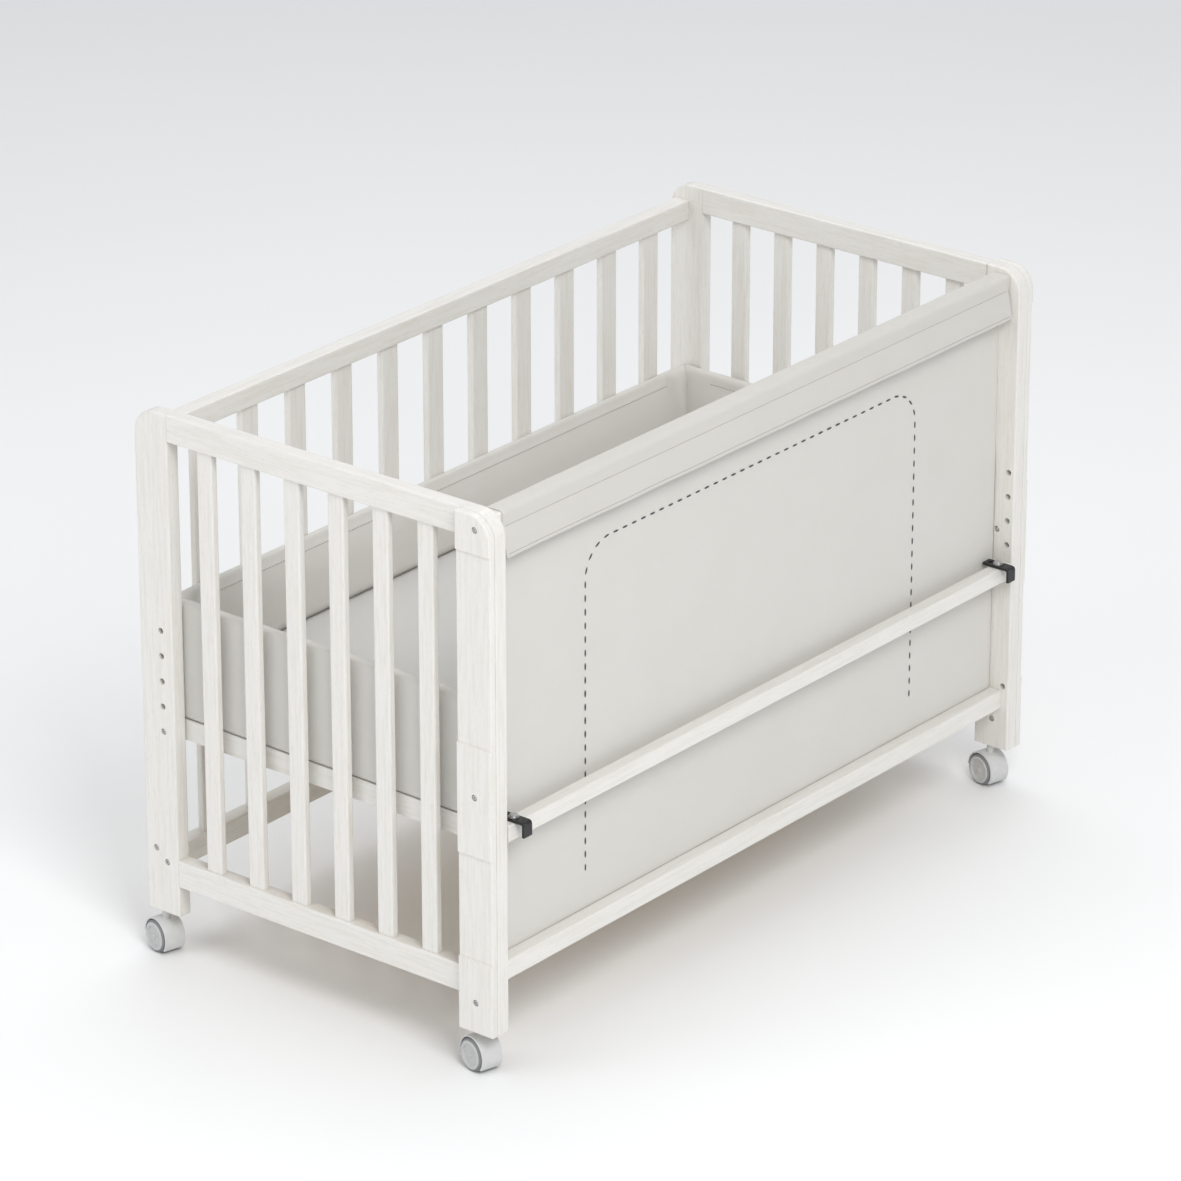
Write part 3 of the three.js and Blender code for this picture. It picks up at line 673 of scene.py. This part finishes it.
def rounded_section():
    """The sleeve's section in Y and Z, from the flap's hem to the end of the wrap."""
    low = Vector((rail_low.y - SLEEVE_OFF, rail_low.z - SLEEVE_OFF))
    high = Vector((rail_high.y + SLEEVE_OFF, rail_high.z + SLEEVE_OFF))
    section = [FLAP_HEM, FLAP_HEM.lerp(SEAM, 0.5) + Vector((-0.6 * MM, 0)), SEAM]
    corners = [(low.x, high.y, math.pi), (high.x, high.y, math.pi / 2), (high.x, low.y, 0)]
    for y, z, start in corners:
        centre = Vector((y + math.copysign(WRAP_CORNER, -y + (low.x + high.x) / 2),
                         z + math.copysign(WRAP_CORNER, -z + (low.y + high.y) / 2)))
        for step in range(6):
            turn = start - step / 5 * math.pi / 2
            section.append(centre + WRAP_CORNER * Vector((math.cos(turn), math.sin(turn))))
    section.append(Vector((low.x + SLEEVE_THICK, low.y)))
    return [Vector((0, point.x, point.y)) for point in section]


sleeve_section = rounded_section()
section_reached = along_path(sleeve_section)
SLEEVE_GIRTH = section_reached[-1]
FLAP_LENGTH = section_reached[2]
SLEEVE_LENGTH = sleeve_high.x - sleeve_low.x
SLEEVE_PUCKERS = 40
PUCKER_DEEP = 0.3 * MM
PUCKER_REACH = 9 * MM
FLAP_WAVE = 2.2 * MM
FLAP_WAVE_BACK = 1.2 * MM
SLEEVE_DIMPLE = 0.35 * MM


def sleeve_bend(u, v):
    x = sleeve_low.x + u
    spot, direction = at_length(sleeve_section, section_reached, v)
    outward = direction.cross(Vector((1, 0, 0)))
    loose = min(v / FLAP_LENGTH, 1)
    hang = 1 - loose
    wave = ripple((x, v * 0.4, 0), 0.085, 4) * FLAP_WAVE * hang
    dimple = ripple((x, v, 0), 0.03, 5) * SLEEVE_DIMPLE
    near_seam = max(0, 1 - abs(v - FLAP_LENGTH) / PUCKER_REACH)
    pull = abs(math.sin(math.pi * u / SLEEVE_LENGTH * SLEEVE_PUCKERS)) * PUCKER_DEEP * near_seam
    swing = Vector((0, max(wave, -FLAP_WAVE_BACK) * -0.5, 0))
    return Vector((x, spot.y, spot.z)) + outward * (dimple - pull) + swing


sleeve = cut_cloth("rail_sleeve_cloth", SLEEVE_LENGTH, SLEEVE_GIRTH, 4 * MM, sleeve_bend)
give_thickness(sleeve, SLEEVE_THICK)
SLEEVE_COTTON = cotton(
    "sleeve_cotton", lambda finish: cut_places(finish, SLEEVE_LENGTH, SLEEVE_GIRTH), 0.7,
    (0.80, 0.775, 0.725), (0.69, 0.66, 0.60),
)
dress(sleeve, SLEEVE_COTTON)
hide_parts("rail_sleeve")
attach(sleeve, "frame")
print("sleeve cut", round(SLEEVE_LENGTH, 3), "by", round(SLEEVE_GIRTH, 3))

# %% [markdown]
# The sleeve's seam and the flap's hem are sewn with small stitches in a soft grey thread.


# %% Seam and hem of the sleeve
LINE_STEPS = 300
LINE_START = 0.004
LINE_SHARE = 0.992
HEM_IN = 6 * MM
SEAM_UP = 1.5 * MM


def sleeve_line(v, off):
    """A line along the sleeve at a place v on its cut, standing off its outer side."""
    points = []
    for index in range(LINE_STEPS + 1):
        u = SLEEVE_LENGTH * (LINE_START + LINE_SHARE * index / LINE_STEPS)
        points.append(sleeve_bend(u, v) - Vector((0, 1, 0)) * off)
    return points


sleeve_seams = running_stitch(
    "sleeve_stitches",
    [sleeve_line(HEM_IN, SLEEVE_THICK / 2 + 0.05 * MM), sleeve_line(FLAP_LENGTH + SEAM_UP, SLEEVE_THICK / 2)],
    length=4.2 * MM, gap=1.2 * MM, width=1.4 * MM, outward=lambda spot: Vector((0, -1, 0)),
)
dress(sleeve_seams, GREY_THREAD)
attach(sleeve_seams, "frame")

# %% [markdown]
# ## Padding that swells between its seams
#
# A padded piece is a bag of wadding: held at its seams and swollen between them. Cloth physics does this
# exactly. The bag is a closed mesh, air pressure pushes it out, the seams are pinned, and gravity is off.
# What the cloth may move is then limited, so that the padding stays in the room it has.

# %% Blow up a padded shape
SIM_FRAMES = 20


def swell(piece, pinned, pressure, limit):
    """Inflates a closed mesh between its pinned points. limit(start) is how far a point there may move."""
    rest = [point.co.copy() for point in piece.data.vertices]
    group = piece.vertex_groups.new(name="seams")
    group.add(pinned, 1.0, "REPLACE")
    cloth = piece.modifiers.new("padding", "CLOTH")
    cloth.settings.vertex_group_mass = "seams"
    cloth.settings.use_pressure = True
    cloth.settings.uniform_pressure_force = pressure
    cloth.settings.effector_weights.gravity = 0
    cloth.settings.quality = 5
    cloth.point_cache.frame_start = 1
    cloth.point_cache.frame_end = SIM_FRAMES
    for step in range(1, SIM_FRAMES + 1):
        bpy.context.scene.frame_set(step)
    posed = piece.evaluated_get(bpy.context.evaluated_depsgraph_get())
    moved = [point.co.copy() for point in posed.data.vertices]
    piece.modifiers.remove(cloth)
    bpy.context.scene.frame_set(1)
    largest = 0
    for point, start, end in zip(piece.data.vertices, rest, moved):
        move = end - start
        cap = limit(start)
        if move.length > cap:
            move = move.normalized() * cap
        point.co = start + move
        largest = max(largest, move.length)
    piece.data.update()
    print(piece.name, "swells by up to", round(largest * 1000, 1), "mm")


# %% [markdown]
# ## The bumper
#
# Four padded walls stand round the mattress. They start as the four sides of a box, cut into small
# squares, and get their thickness inwards. The lower part is squeezed thin beside the mattress. The
# corners, the bottom edge and a line near the top are sewn, so they are what the swelling leaves in place.

# %% Walls of the bumper
bumper_low, bumper_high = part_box("bumper")
mattress_low, mattress_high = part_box("mattress")
BUMPER_THICK = 15.5 * MM
SKIRT_THICK = 6.5 * MM
SHOULDER_Z = mattress_high.z + 2 * MM
SEAM_DOWN = 23 * MM
SEAM_SHORT = 45 * MM
BUMPER_STEP = 9 * MM
SLACK = 1.2 * MM
FOOT_SLACK = 0.2 * MM
TOP_SLACK = 2.5 * MM


def bumper_walls():
    low = bumper_low + Vector((SLACK, SLACK, FOOT_SLACK))
    high = bumper_high - Vector((SLACK, SLACK, TOP_SLACK))
    walls = bmesh.new()
    bmesh.ops.create_cube(walls, size=1)
    bmesh.ops.scale(walls, verts=walls.verts, vec=high - low)
    bmesh.ops.translate(walls, verts=walls.verts, vec=(low + high) / 2)
    flat = [face for face in walls.faces if abs(face.normal.z) > 0.5]
    bmesh.ops.delete(walls, geom=flat, context="FACES_ONLY")
    for axis, size in enumerate(high - low):
        lines = int(size / BUMPER_STEP)
        for index in range(1, lines):
            place = Vector((0, 0, 0))
            place[axis] = low[axis] + size * index / lines
            normal = Vector((0, 0, 0))
            normal[axis] = 1
            geometry = walls.verts[:] + walls.edges[:] + walls.faces[:]
            bmesh.ops.bisect_plane(walls, geom=geometry, plane_co=place, plane_no=normal, dist=1e-6)
    bmesh.ops.recalc_face_normals(walls, faces=walls.faces)
    return walls


def thin_skirt(walls):
    """Gives the walls their thickness inwards, less beside the mattress, and returns the inner points."""
    outer = set(walls.verts)
    bmesh.ops.solidify(walls, geom=walls.faces[:], thickness=BUMPER_THICK)
    inner = [point for point in walls.verts if point not in outer]
    centre = (bumper_low + bumper_high) / 2
    reach = (bumper_high - bumper_low) / 2 - Vector((SLACK, SLACK, 0))
    for point in inner:
        if point.co.z < SHOULDER_Z:
            for axis in (0, 1):
                edge = reach[axis] - BUMPER_THICK
                side = point.co[axis] - centre[axis]
                if abs(side) > edge - 0.5 * MM:
                    point.co[axis] += math.copysign(BUMPER_THICK - SKIRT_THICK, side)
    bmesh.ops.recalc_face_normals(walls, faces=walls.faces)
    return inner


bumper_shape = bumper_walls()
bumper_inner = thin_skirt(bumper_shape)
bumper_shape.verts.index_update()
inner_indices = {point.index for point in bumper_inner}
bumper_mesh = bpy.data.meshes.new("bumper_padding")
bumper_shape.to_mesh(bumper_mesh)
bumper_shape.free()
bumper = link("bumper_padding", bumper_mesh)
rows_z = sorted({round(point.co.z, 5) for point in bumper_mesh.vertices})
SEAM_Z = min(rows_z, key=lambda z: abs(z - (bumper_high.z - SEAM_DOWN)))
print("bumper starts with", len(bumper_mesh.vertices), "points, its seam at", round(SEAM_Z, 4))

# %% Seams of the bumper, and the room that it has
INNER_X_REACH = bumper_high.x - SLACK - BUMPER_THICK
INNER_Y_LOW = bumper_low.y + SLACK + BUMPER_THICK
INNER_Y_HIGH = bumper_high.y - SLACK - BUMPER_THICK
NEAR = 0.6 * MM


def at_corner(spot):
    """Whether a point is on one of the vertical edges, inside or outside."""
    ends = abs(abs(spot.x) - INNER_X_REACH) < NEAR or abs(abs(spot.x) - bumper_high.x + SLACK) < NEAR
    low = abs(spot.y - INNER_Y_LOW) < NEAR or abs(spot.y - bumper_low.y - SLACK) < NEAR
    high = abs(spot.y - INNER_Y_HIGH) < NEAR or abs(spot.y - bumper_high.y + SLACK) < NEAR
    return ends and (low or high)


def on_seam(index, spot):
    """Whether a point is on the line sewn below the top of the inner side."""
    if index not in inner_indices or abs(spot.z - SEAM_Z) > NEAR:
        return False
    on_end = abs(abs(spot.x) - INNER_X_REACH) < NEAR
    if on_end:
        return INNER_Y_LOW + SEAM_SHORT < spot.y < INNER_Y_HIGH - SEAM_SHORT
    return abs(spot.x) < INNER_X_REACH - SEAM_SHORT


bumper_pins = [
    point.index for point in bumper_mesh.vertices
    if point.co.z < rows_z[0] + NEAR or at_corner(point.co) or on_seam(point.index, point.co)
]
outer_limit = 1.0 * MM
inner_limit = 6.5 * MM
top_limit = 2.2 * MM


def bumper_limit(start):
    inward = INNER_Y_LOW - NEAR < start.y < INNER_Y_HIGH + NEAR and abs(start.x) < INNER_X_REACH + NEAR
    if not inward:
        return outer_limit if start.z < rows_z[-1] - NEAR else top_limit
    return top_limit if start.z < SHOULDER_Z else inner_limit


swell(bumper, bumper_pins, pressure=5.0, limit=bumper_limit)
for face in bumper_mesh.polygons:
    face.use_smooth = True
finer = bumper.modifiers.new("smooth", "SUBSURF")
finer.levels = 1
finer.render_levels = 1
BUMPER_COTTON = cotton("bumper_cotton", wall_places, 0.8, (0.81, 0.79, 0.745), (0.70, 0.675, 0.62))
dress(bumper, BUMPER_COTTON)
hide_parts("bumper")
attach(bumper, "bed_base")

# %% [markdown]
# The line near the top of the inner side is sewn through. Its thread sits in the groove that the swelling
# leaves, so it takes its place from the mesh's pinned points, which the swelling doesn't move.


# %% Thread in the bumper's seam
def seam_points(keep):
    """Points of the inner seam that a test keeps."""
    chosen = [bumper_mesh.vertices[index].co.copy() for index in bumper_pins
              if index in inner_indices and abs(bumper_mesh.vertices[index].co.z - SEAM_Z) < NEAR]
    return [spot for spot in chosen if keep(spot)]


THREAD_OFF = 0.5 * MM
LONG_WALL_FROM = 0.2
bumper_centre = (bumper_low + bumper_high) / 2


def inner_wall_lines():
    lines = []
    for side in (-1, 1):
        off = Vector((0, side * THREAD_OFF, 0))
        long_wall = seam_points(lambda spot: (spot.y - bumper_centre.y) * side > LONG_WALL_FROM
                                and abs(spot.x) < INNER_X_REACH - SEAM_SHORT)
        lines.append([spot - off for spot in sorted(long_wall, key=lambda s: s.x)])
    return lines


def end_wall_lines():
    lines = []
    for side in (-1, 1):
        off = Vector((side * THREAD_OFF, 0, 0))
        end_wall = seam_points(lambda spot: abs(spot.x - side * INNER_X_REACH) < 3 * NEAR
                               and INNER_Y_LOW + SEAM_SHORT < spot.y < INNER_Y_HIGH - SEAM_SHORT)
        lines.append([spot - off for spot in sorted(end_wall, key=lambda s: s.y)])
    return lines


bumper_thread = running_stitch(
    "bumper_stitches", inner_wall_lines() + end_wall_lines(), length=5 * MM, gap=1.2 * MM, width=1.3 * MM,
    outward=lambda spot: Vector((0, -math.copysign(1, spot.y - bumper_centre.y), 0))
    if abs(spot.x) < INNER_X_REACH - 2 * MM else Vector((-math.copysign(1, spot.x), 0, 0)),
)
SEAM_THREAD = twisted_thread("seam_thread", (0.34, 0.33, 0.32), (0.20, 0.20, 0.20))
dress(bumper_thread, SEAM_THREAD)
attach(bumper_thread, "bed_base")

# %% [markdown]
# ## The mattress
#
# A foam block in a quilted cover, sewn along its upper and lower edges. Foam hardly swells, so
# the cover is pinned along both edges and blown up by a few millimetres. The quilting is a lattice of
# shallow grooves, pressed in afterwards, because the swelling would smooth it away.

# %% A block cut into squares, with rounded upright corners
MATTRESS_CORNER = 24 * MM
MATTRESS_STEP = 13 * MM
QUILT_PITCH = 78 * MM
QUILT_DEPTH = 1.6 * MM
CROWN = 1.4 * MM


def cut_in_squares(shape, low, high, step, axes):
    for axis in axes:
        lines = round((high[axis] - low[axis]) / step)
        for index in range(1, lines):
            place = low.copy()
            place[axis] += (high[axis] - low[axis]) * index / lines
            normal = Vector((axis == 0, axis == 1, axis == 2))
            geometry = shape.verts[:] + shape.edges[:] + shape.faces[:]
            bmesh.ops.bisect_plane(shape, geom=geometry, plane_co=place, plane_no=normal, dist=1e-6)


def mattress_block():
    low = mattress_low + Vector((1, 1, 0.3)) * MM
    high = mattress_high - Vector((1, 1, CROWN / MM)) * MM
    block = bmesh.new()
    bmesh.ops.create_cube(block, size=1)
    bmesh.ops.scale(block, verts=block.verts, vec=high - low)
    bmesh.ops.translate(block, verts=block.verts, vec=(low + high) / 2)
    upright = [edge for edge in block.edges if abs(edge.verts[0].co.z - edge.verts[1].co.z) > 10 * MM]
    bmesh.ops.bevel(block, geom=upright, offset=MATTRESS_CORNER, segments=5, profile=0.5, affect="EDGES",
                    material=-1)
    cut_in_squares(block, low, high, MATTRESS_STEP, (0, 1, 2))
    return block, low, high


mattress_shape, block_low, block_high = mattress_block()
mattress_mesh = bpy.data.meshes.new("mattress_cover")
mattress_shape.to_mesh(mattress_mesh)
mattress_shape.free()
mattress = link("mattress_cover", mattress_mesh)


def on_mattress_rim(spot):
    """Whether a point is on the upper or lower sewn edge."""
    flat = min(abs(spot.z - block_low.z), abs(spot.z - block_high.z)) < NEAR
    inside_x = abs(spot.x) < block_high.x - NEAR
    inside_y = block_low.y + NEAR < spot.y < block_high.y - NEAR
    past_x = abs(spot.x) - block_high.x + MATTRESS_CORNER
    past_y = max(spot.y - block_high.y, block_low.y - spot.y) + MATTRESS_CORNER
    in_corner = Vector((max(past_x, 0), max(past_y, 0)))
    return flat and not (inside_x and inside_y and in_corner.length < MATTRESS_CORNER - NEAR)


mattress_pins = [point.index for point in mattress_mesh.vertices if on_mattress_rim(point.co)]


def mattress_limit(start):
    if start.z < block_low.z + NEAR:
        return 0.2 * MM
    return CROWN if start.z > block_high.z - NEAR else 0.9 * MM


swell(mattress, mattress_pins, pressure=3.0, limit=mattress_limit)
for point in mattress_mesh.vertices:
    if point.co.z > block_high.z - NEAR and not on_mattress_rim(point.co):
        one = abs(math.sin(math.pi * (point.co.x + point.co.y) / QUILT_PITCH))
        two = abs(math.sin(math.pi * (point.co.x - point.co.y) / QUILT_PITCH))
        point.co.z -= QUILT_DEPTH * (1 - min(one, two)) ** 3
for face in mattress_mesh.polygons:
    face.use_smooth = True
finer = mattress.modifiers.new("smooth", "SUBSURF")
finer.levels = 1
finer.render_levels = 1
TICKING = cotton("mattress_ticking", lambda finish: finish.parts(finish.place())[:2], 0.8,
                 (0.84, 0.83, 0.80), (0.74, 0.73, 0.70))
dress(mattress, TICKING)
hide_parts("mattress")
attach(mattress, "bed_base")

# %% [markdown]
# ## Spun parts
#
# Bolt heads, stems and wheels are all turned shapes. `spin` does what a lathe does: a profile of radius
# and height goes once round an axis, and `use_merge` closes the seam. A helper keeps edges sharp where
# the profile turns hard, and smooth where it's a curve.


# %% The lathe
def lathe(profile, sides, closed=False):
    """A turned shape about Z from (radius, height) pairs in millimetres."""
    shape = bmesh.new()
    points = [shape.verts.new((radius * MM, 0, height * MM)) for radius, height in profile]
    edges = [shape.edges.new(pair) for pair in zip(points, points[1:])]
    if closed:
        edges.append(shape.edges.new((points[-1], points[0])))
    bmesh.ops.spin(shape, geom=points + edges, cent=(0, 0, 0), axis=(0, 0, 1), angle=2 * math.pi,
                   steps=sides, use_merge=True)
    bmesh.ops.remove_doubles(shape, verts=shape.verts, dist=1e-6)
    bmesh.ops.recalc_face_normals(shape, faces=shape.faces)
    return shape


def sharpen(shape, degrees=38):
    """Smooth faces, with hard edges where the surface turns by more than so many degrees."""
    for face in shape.faces:
        face.smooth = True
    for edge in shape.edges:
        if len(edge.link_faces) == 2 and edge.calc_face_angle(0) > math.radians(degrees):
            edge.smooth = False


def merge_into(whole, shape, matrix=Matrix.Identity(4)):
    """Adds a copy of a shape to another, moved by a matrix."""
    mesh = bpy.data.meshes.new("copy")
    shape.to_mesh(mesh)
    mesh.transform(matrix)
    whole.from_mesh(mesh)
    bpy.data.meshes.remove(mesh)


def to_piece(name, shape, finish, body):
    sharpen(shape)
    mesh = bpy.data.meshes.new(name)
    shape.to_mesh(mesh)
    piece = link(name, mesh)
    dress(piece, finish)
    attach(piece, body)
    return piece


print("lathe ready")

# %% [markdown]
# ## Bolt heads
#
# The frame's holes are already there. Barrel bolts sit just inside most of them: a round head with a
# hexagon socket. The head is a disc whose rim is spun, and the socket is a ring of six points bridged to
# it and pushed down.

# %% One bolt head with a hexagon socket
HEAD_RADIUS = 3.7
HEX_RADIUS = 2.1
HEX_DEPTH = 1.6
HEAD_DEPTH = 3.0
HEAD_EDGE = 0.6


def bolt_head():
    """A socket head about Z, its face at Z = 0."""
    side = [(HEAD_RADIUS, -HEAD_DEPTH), (HEAD_RADIUS, -HEAD_EDGE), (HEAD_RADIUS - HEAD_EDGE, 0)]
    head = lathe([(0, -HEAD_DEPTH)] + side, 24)
    hexagon = bmesh.ops.create_circle(head, segments=6, radius=HEX_RADIUS * MM)["verts"]
    rim = [edge for edge in head.edges if edge.is_boundary and edge.verts[0] not in hexagon]
    ring = [edge for edge in head.edges if edge.verts[0] in hexagon and edge.verts[1] in hexagon]
    bmesh.ops.bridge_loops(head, edges=rim + ring)
    ring = [edge for edge in head.edges if edge.is_boundary]
    sunk = bmesh.ops.extrude_edge_only(head, edges=ring)["geom"]
    low = [item for item in sunk if isinstance(item, bmesh.types.BMVert)]
    bmesh.ops.translate(head, verts=low, vec=(0, 0, -HEX_DEPTH * MM))
    bmesh.ops.contextual_create(head, geom=[edge for edge in head.edges if edge.is_boundary])
    bmesh.ops.recalc_face_normals(head, faces=head.faces)
    return head


head = bolt_head()
print("a bolt head has", len(head.faces), "faces")

# %% [markdown]
# Each place is given as so far in from the post's outer edge, and so far up from its foot. The two bolts
# of the bed base go up and down with it.

# %% Bolts in the posts
DOUBLER_BOLTS = ((30, 48), (30, 368), (26, 773))
BACK_BOLTS = ((19, 102), (40, 84))
BASE_BOLT = (40, 294.5)
INNER_ENDS = DOUBLER_BOLTS[:2]
SUNK = 0.9 * MM
FACE_OUT = {side: Matrix.Rotation(side * math.pi / 2, 4, "Y") for side in (-1, 1)}


def set_heads(places):
    """Heads at (x, y, z, side), each facing along X by its side."""
    whole = bmesh.new()
    for x, y, z, side in places:
        merge_into(whole, head, Matrix.Translation((x, y, z)) @ FACE_OUT[side])
    return whole


frame_places = []
base_places = []
for side, word in ENDS:
    doubler_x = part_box(f"{word}_doubler")[0 if side < 0 else 1].x - side * SUNK
    post_x = side * OUTER_X - side * SUNK
    frame_places += [(doubler_x, POST_FRONT + y * MM, POST_FOOT + z * MM, side) for y, z in DOUBLER_BOLTS]
    frame_places += [(post_x, POST_BACK - y * MM, POST_FOOT + z * MM, side) for y, z in BACK_BOLTS]
    frame_places += [(side * INNER_X + side * SUNK, POST_FRONT + y * MM, POST_FOOT + z * MM, -side)
                     for y, z in INNER_ENDS]
    base_places.append((post_x, POST_BACK - BASE_BOLT[0] * MM, POST_FOOT + BASE_BOLT[1] * MM, side))
to_piece("frame_bolts", set_heads(frame_places), ZINC, "frame")
to_piece("base_bolts", set_heads(base_places), ZINC, "bed_base")
print(len(frame_places), "frame bolts and", len(base_places), "base bolts")

# %% [markdown]
# ## Casters
#
# Each caster is two plastic wheels on one axle under a moulded hood, on a stem that turns in the post.
# Everything here is spun too. The wheels are spun with a softer tread, and the hood is a spun ring
# with a web in its middle, cut off below by a sloping plane, as the moulding is open there.

# %% Finishes of the casters
def moulded_plastic(name, light, dark, roughness, grain):
    finish = Finish(name)
    spot = finish.place()
    cloud = finish.noise(spot, 9, detail=4)
    scuff = finish.noise(finish.place((1, 1, 4)), 1.4, detail=3).above(0.66, 0.05)
    finish.put("Base Color", finish.mix(finish.mix(light, dark, cloud), dark, scuff * 0.5))
    finish.put("Roughness", roughness + 0.12 * cloud + 0.15 * scuff)
    finish.bump(finish.noise(spot, grain, detail=2), 0.05)
    return finish


HOOD_PLASTIC = moulded_plastic("hood_plastic", (0.66, 0.66, 0.65), (0.56, 0.56, 0.55), 0.32, 0.5)
HUB_PLASTIC = moulded_plastic("hub_plastic", (0.58, 0.58, 0.575), (0.48, 0.48, 0.475), 0.35, 0.5)
TREAD_RUBBER = moulded_plastic("tread_rubber", (0.26, 0.265, 0.27), (0.17, 0.17, 0.175), 0.6, 0.8)
print("caster finishes ready")

# %% Wheels and hoods
WHEEL_RADIUS = 25
TREAD_FROM = 21.6
WHEEL_INNER = 6.2
TRAIL = 4
STEM = 4.5
COLLAR = 5.5
GROOVE = 5
HOOD_OUT = 29
HOOD_IN = 26.6
HOOD_HALF = 17.5
WEB_HALF = 4
HOOD_SLOPE = math.radians(20)
HOOD_DROP = 9
WHEEL_PROFILE = [
    (0, 20.4), (3.6, 20.4), (4.2, 19.8), (4.2, 19.1), (6.5, 18.7), (15.5, 18.7), (16.2, 19.4), (16.8, 20.8),
    (18.6, 21), (20.6, 20.9), (21.4, 20.3), (21.7, 19.6), (22.6, 19.5), (23.9, 18.9), (24.8, 17.6), (25, 16),
    (25, 14.2), (24.5, 13.9), (24.5, 13.3), (25, 13), (25, 8.6), (24.4, 7.2), (23, 6.3), (8, 6.2), (3, 6.2),
    (3, 0),
]
HOOD_PROFILE = [
    (HOOD_IN, HOOD_HALF), (HOOD_OUT - 0.9, HOOD_HALF), (HOOD_OUT - 0.25, HOOD_HALF - 0.3),
    (HOOD_OUT, HOOD_HALF - 1), (HOOD_OUT, 0),
]
AXLE_ALONG_X = Matrix.Translation((0, TRAIL * MM, WHEEL_RADIUS * MM)) @ Matrix.Rotation(math.pi / 2, 4, "Y")


def both_sides(profile):
    """A half profile from the outside to the middle, and its mirror image after it."""
    return profile + [(radius, -height) for radius, height in reversed(profile)][1:]


def caster_wheels():
    wheels = lathe(both_sides(WHEEL_PROFILE), 72)
    for face in wheels.faces:
        centre = face.calc_center_median()
        out_from_axle = Vector((centre.x, centre.y)).length
        face.material_index = int(out_from_axle > TREAD_FROM * MM and abs(centre.z) > WHEEL_INNER * MM)
    return wheels


def caster_hood():
    inner = [(HOOD_IN, WEB_HALF), (4, WEB_HALF), (4, 0)]
    outline = both_sides(HOOD_PROFILE) + list(reversed(both_sides(inner)))
    hood = lathe(outline, 72, closed=True)
    bmesh.ops.transform(hood, verts=hood.verts, matrix=AXLE_ALONG_X)
    lowest = Vector((0, TRAIL, WHEEL_RADIUS - HOOD_DROP)) * MM
    upward = Vector((0, -math.sin(HOOD_SLOPE), math.cos(HOOD_SLOPE)))
    geometry = hood.verts[:] + hood.edges[:] + hood.faces[:]
    bmesh.ops.bisect_plane(hood, geom=geometry, plane_co=lowest, plane_no=upward, clear_inner=True, dist=1e-6)
    bmesh.ops.edgeloop_fill(hood, edges=[edge for edge in hood.edges if edge.is_boundary])
    crown = WHEEL_RADIUS + HOOD_OUT
    foot = POST_FOOT / MM
    stem = lathe([
        (0, crown - 5), (COLLAR, crown - 5), (COLLAR, foot - 2.2), (GROOVE, foot - 1.9), (GROOVE, foot - 1.5),
        (COLLAR, foot - 1.2), (COLLAR, foot - 0.3), (STEM, foot - 0.3), (STEM, foot + 20), (0, foot + 20),
    ], 40)
    merge_into(hood, stem)
    return hood


wheels_shape = caster_wheels()
bmesh.ops.transform(wheels_shape, verts=wheels_shape.verts, matrix=AXLE_ALONG_X)
hood_shape = caster_hood()
axle_direction = next(joint["axis"] for joint in frame["joints"] if joint["name"].endswith("_roll"))
CASTER_TURN = Matrix.Rotation(math.atan2(axle_direction[1], axle_direction[0]), 4, "Z")
turning = [joint for joint in frame["joints"] if joint["name"].endswith("_swivel")]
swivels = {joint["name"]: joint["pos_m"] for joint in turning}
for side, word in ENDS:
    for _, row in ROWS:
        stem = swivels[f"caster_{row}_{word}_swivel"]
        place = Matrix.Translation((stem[0], stem[1], 0)) @ CASTER_TURN
        for shape, part, finish, slot, body in (
            (hood_shape, "hood", HOOD_PLASTIC, "caster_plastic", f"caster_{row}_{word}"),
            (wheels_shape, "wheels", HUB_PLASTIC, "caster_wheel", f"wheels_{row}_{word}"),
        ):
            placed = bmesh.new()
            merge_into(placed, shape, place)
            piece = to_piece(f"caster_{part}_fine_{row}_{word}", placed, finish, body)
            placed.free()
            if part == "wheels":
                piece.data.materials.append(TREAD_RUBBER.material)
            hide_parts(f"caster_{part}_{row}_{word}")
print("four casters, turned", round(math.degrees(CASTER_TURN.to_euler().z), 1), "degrees")
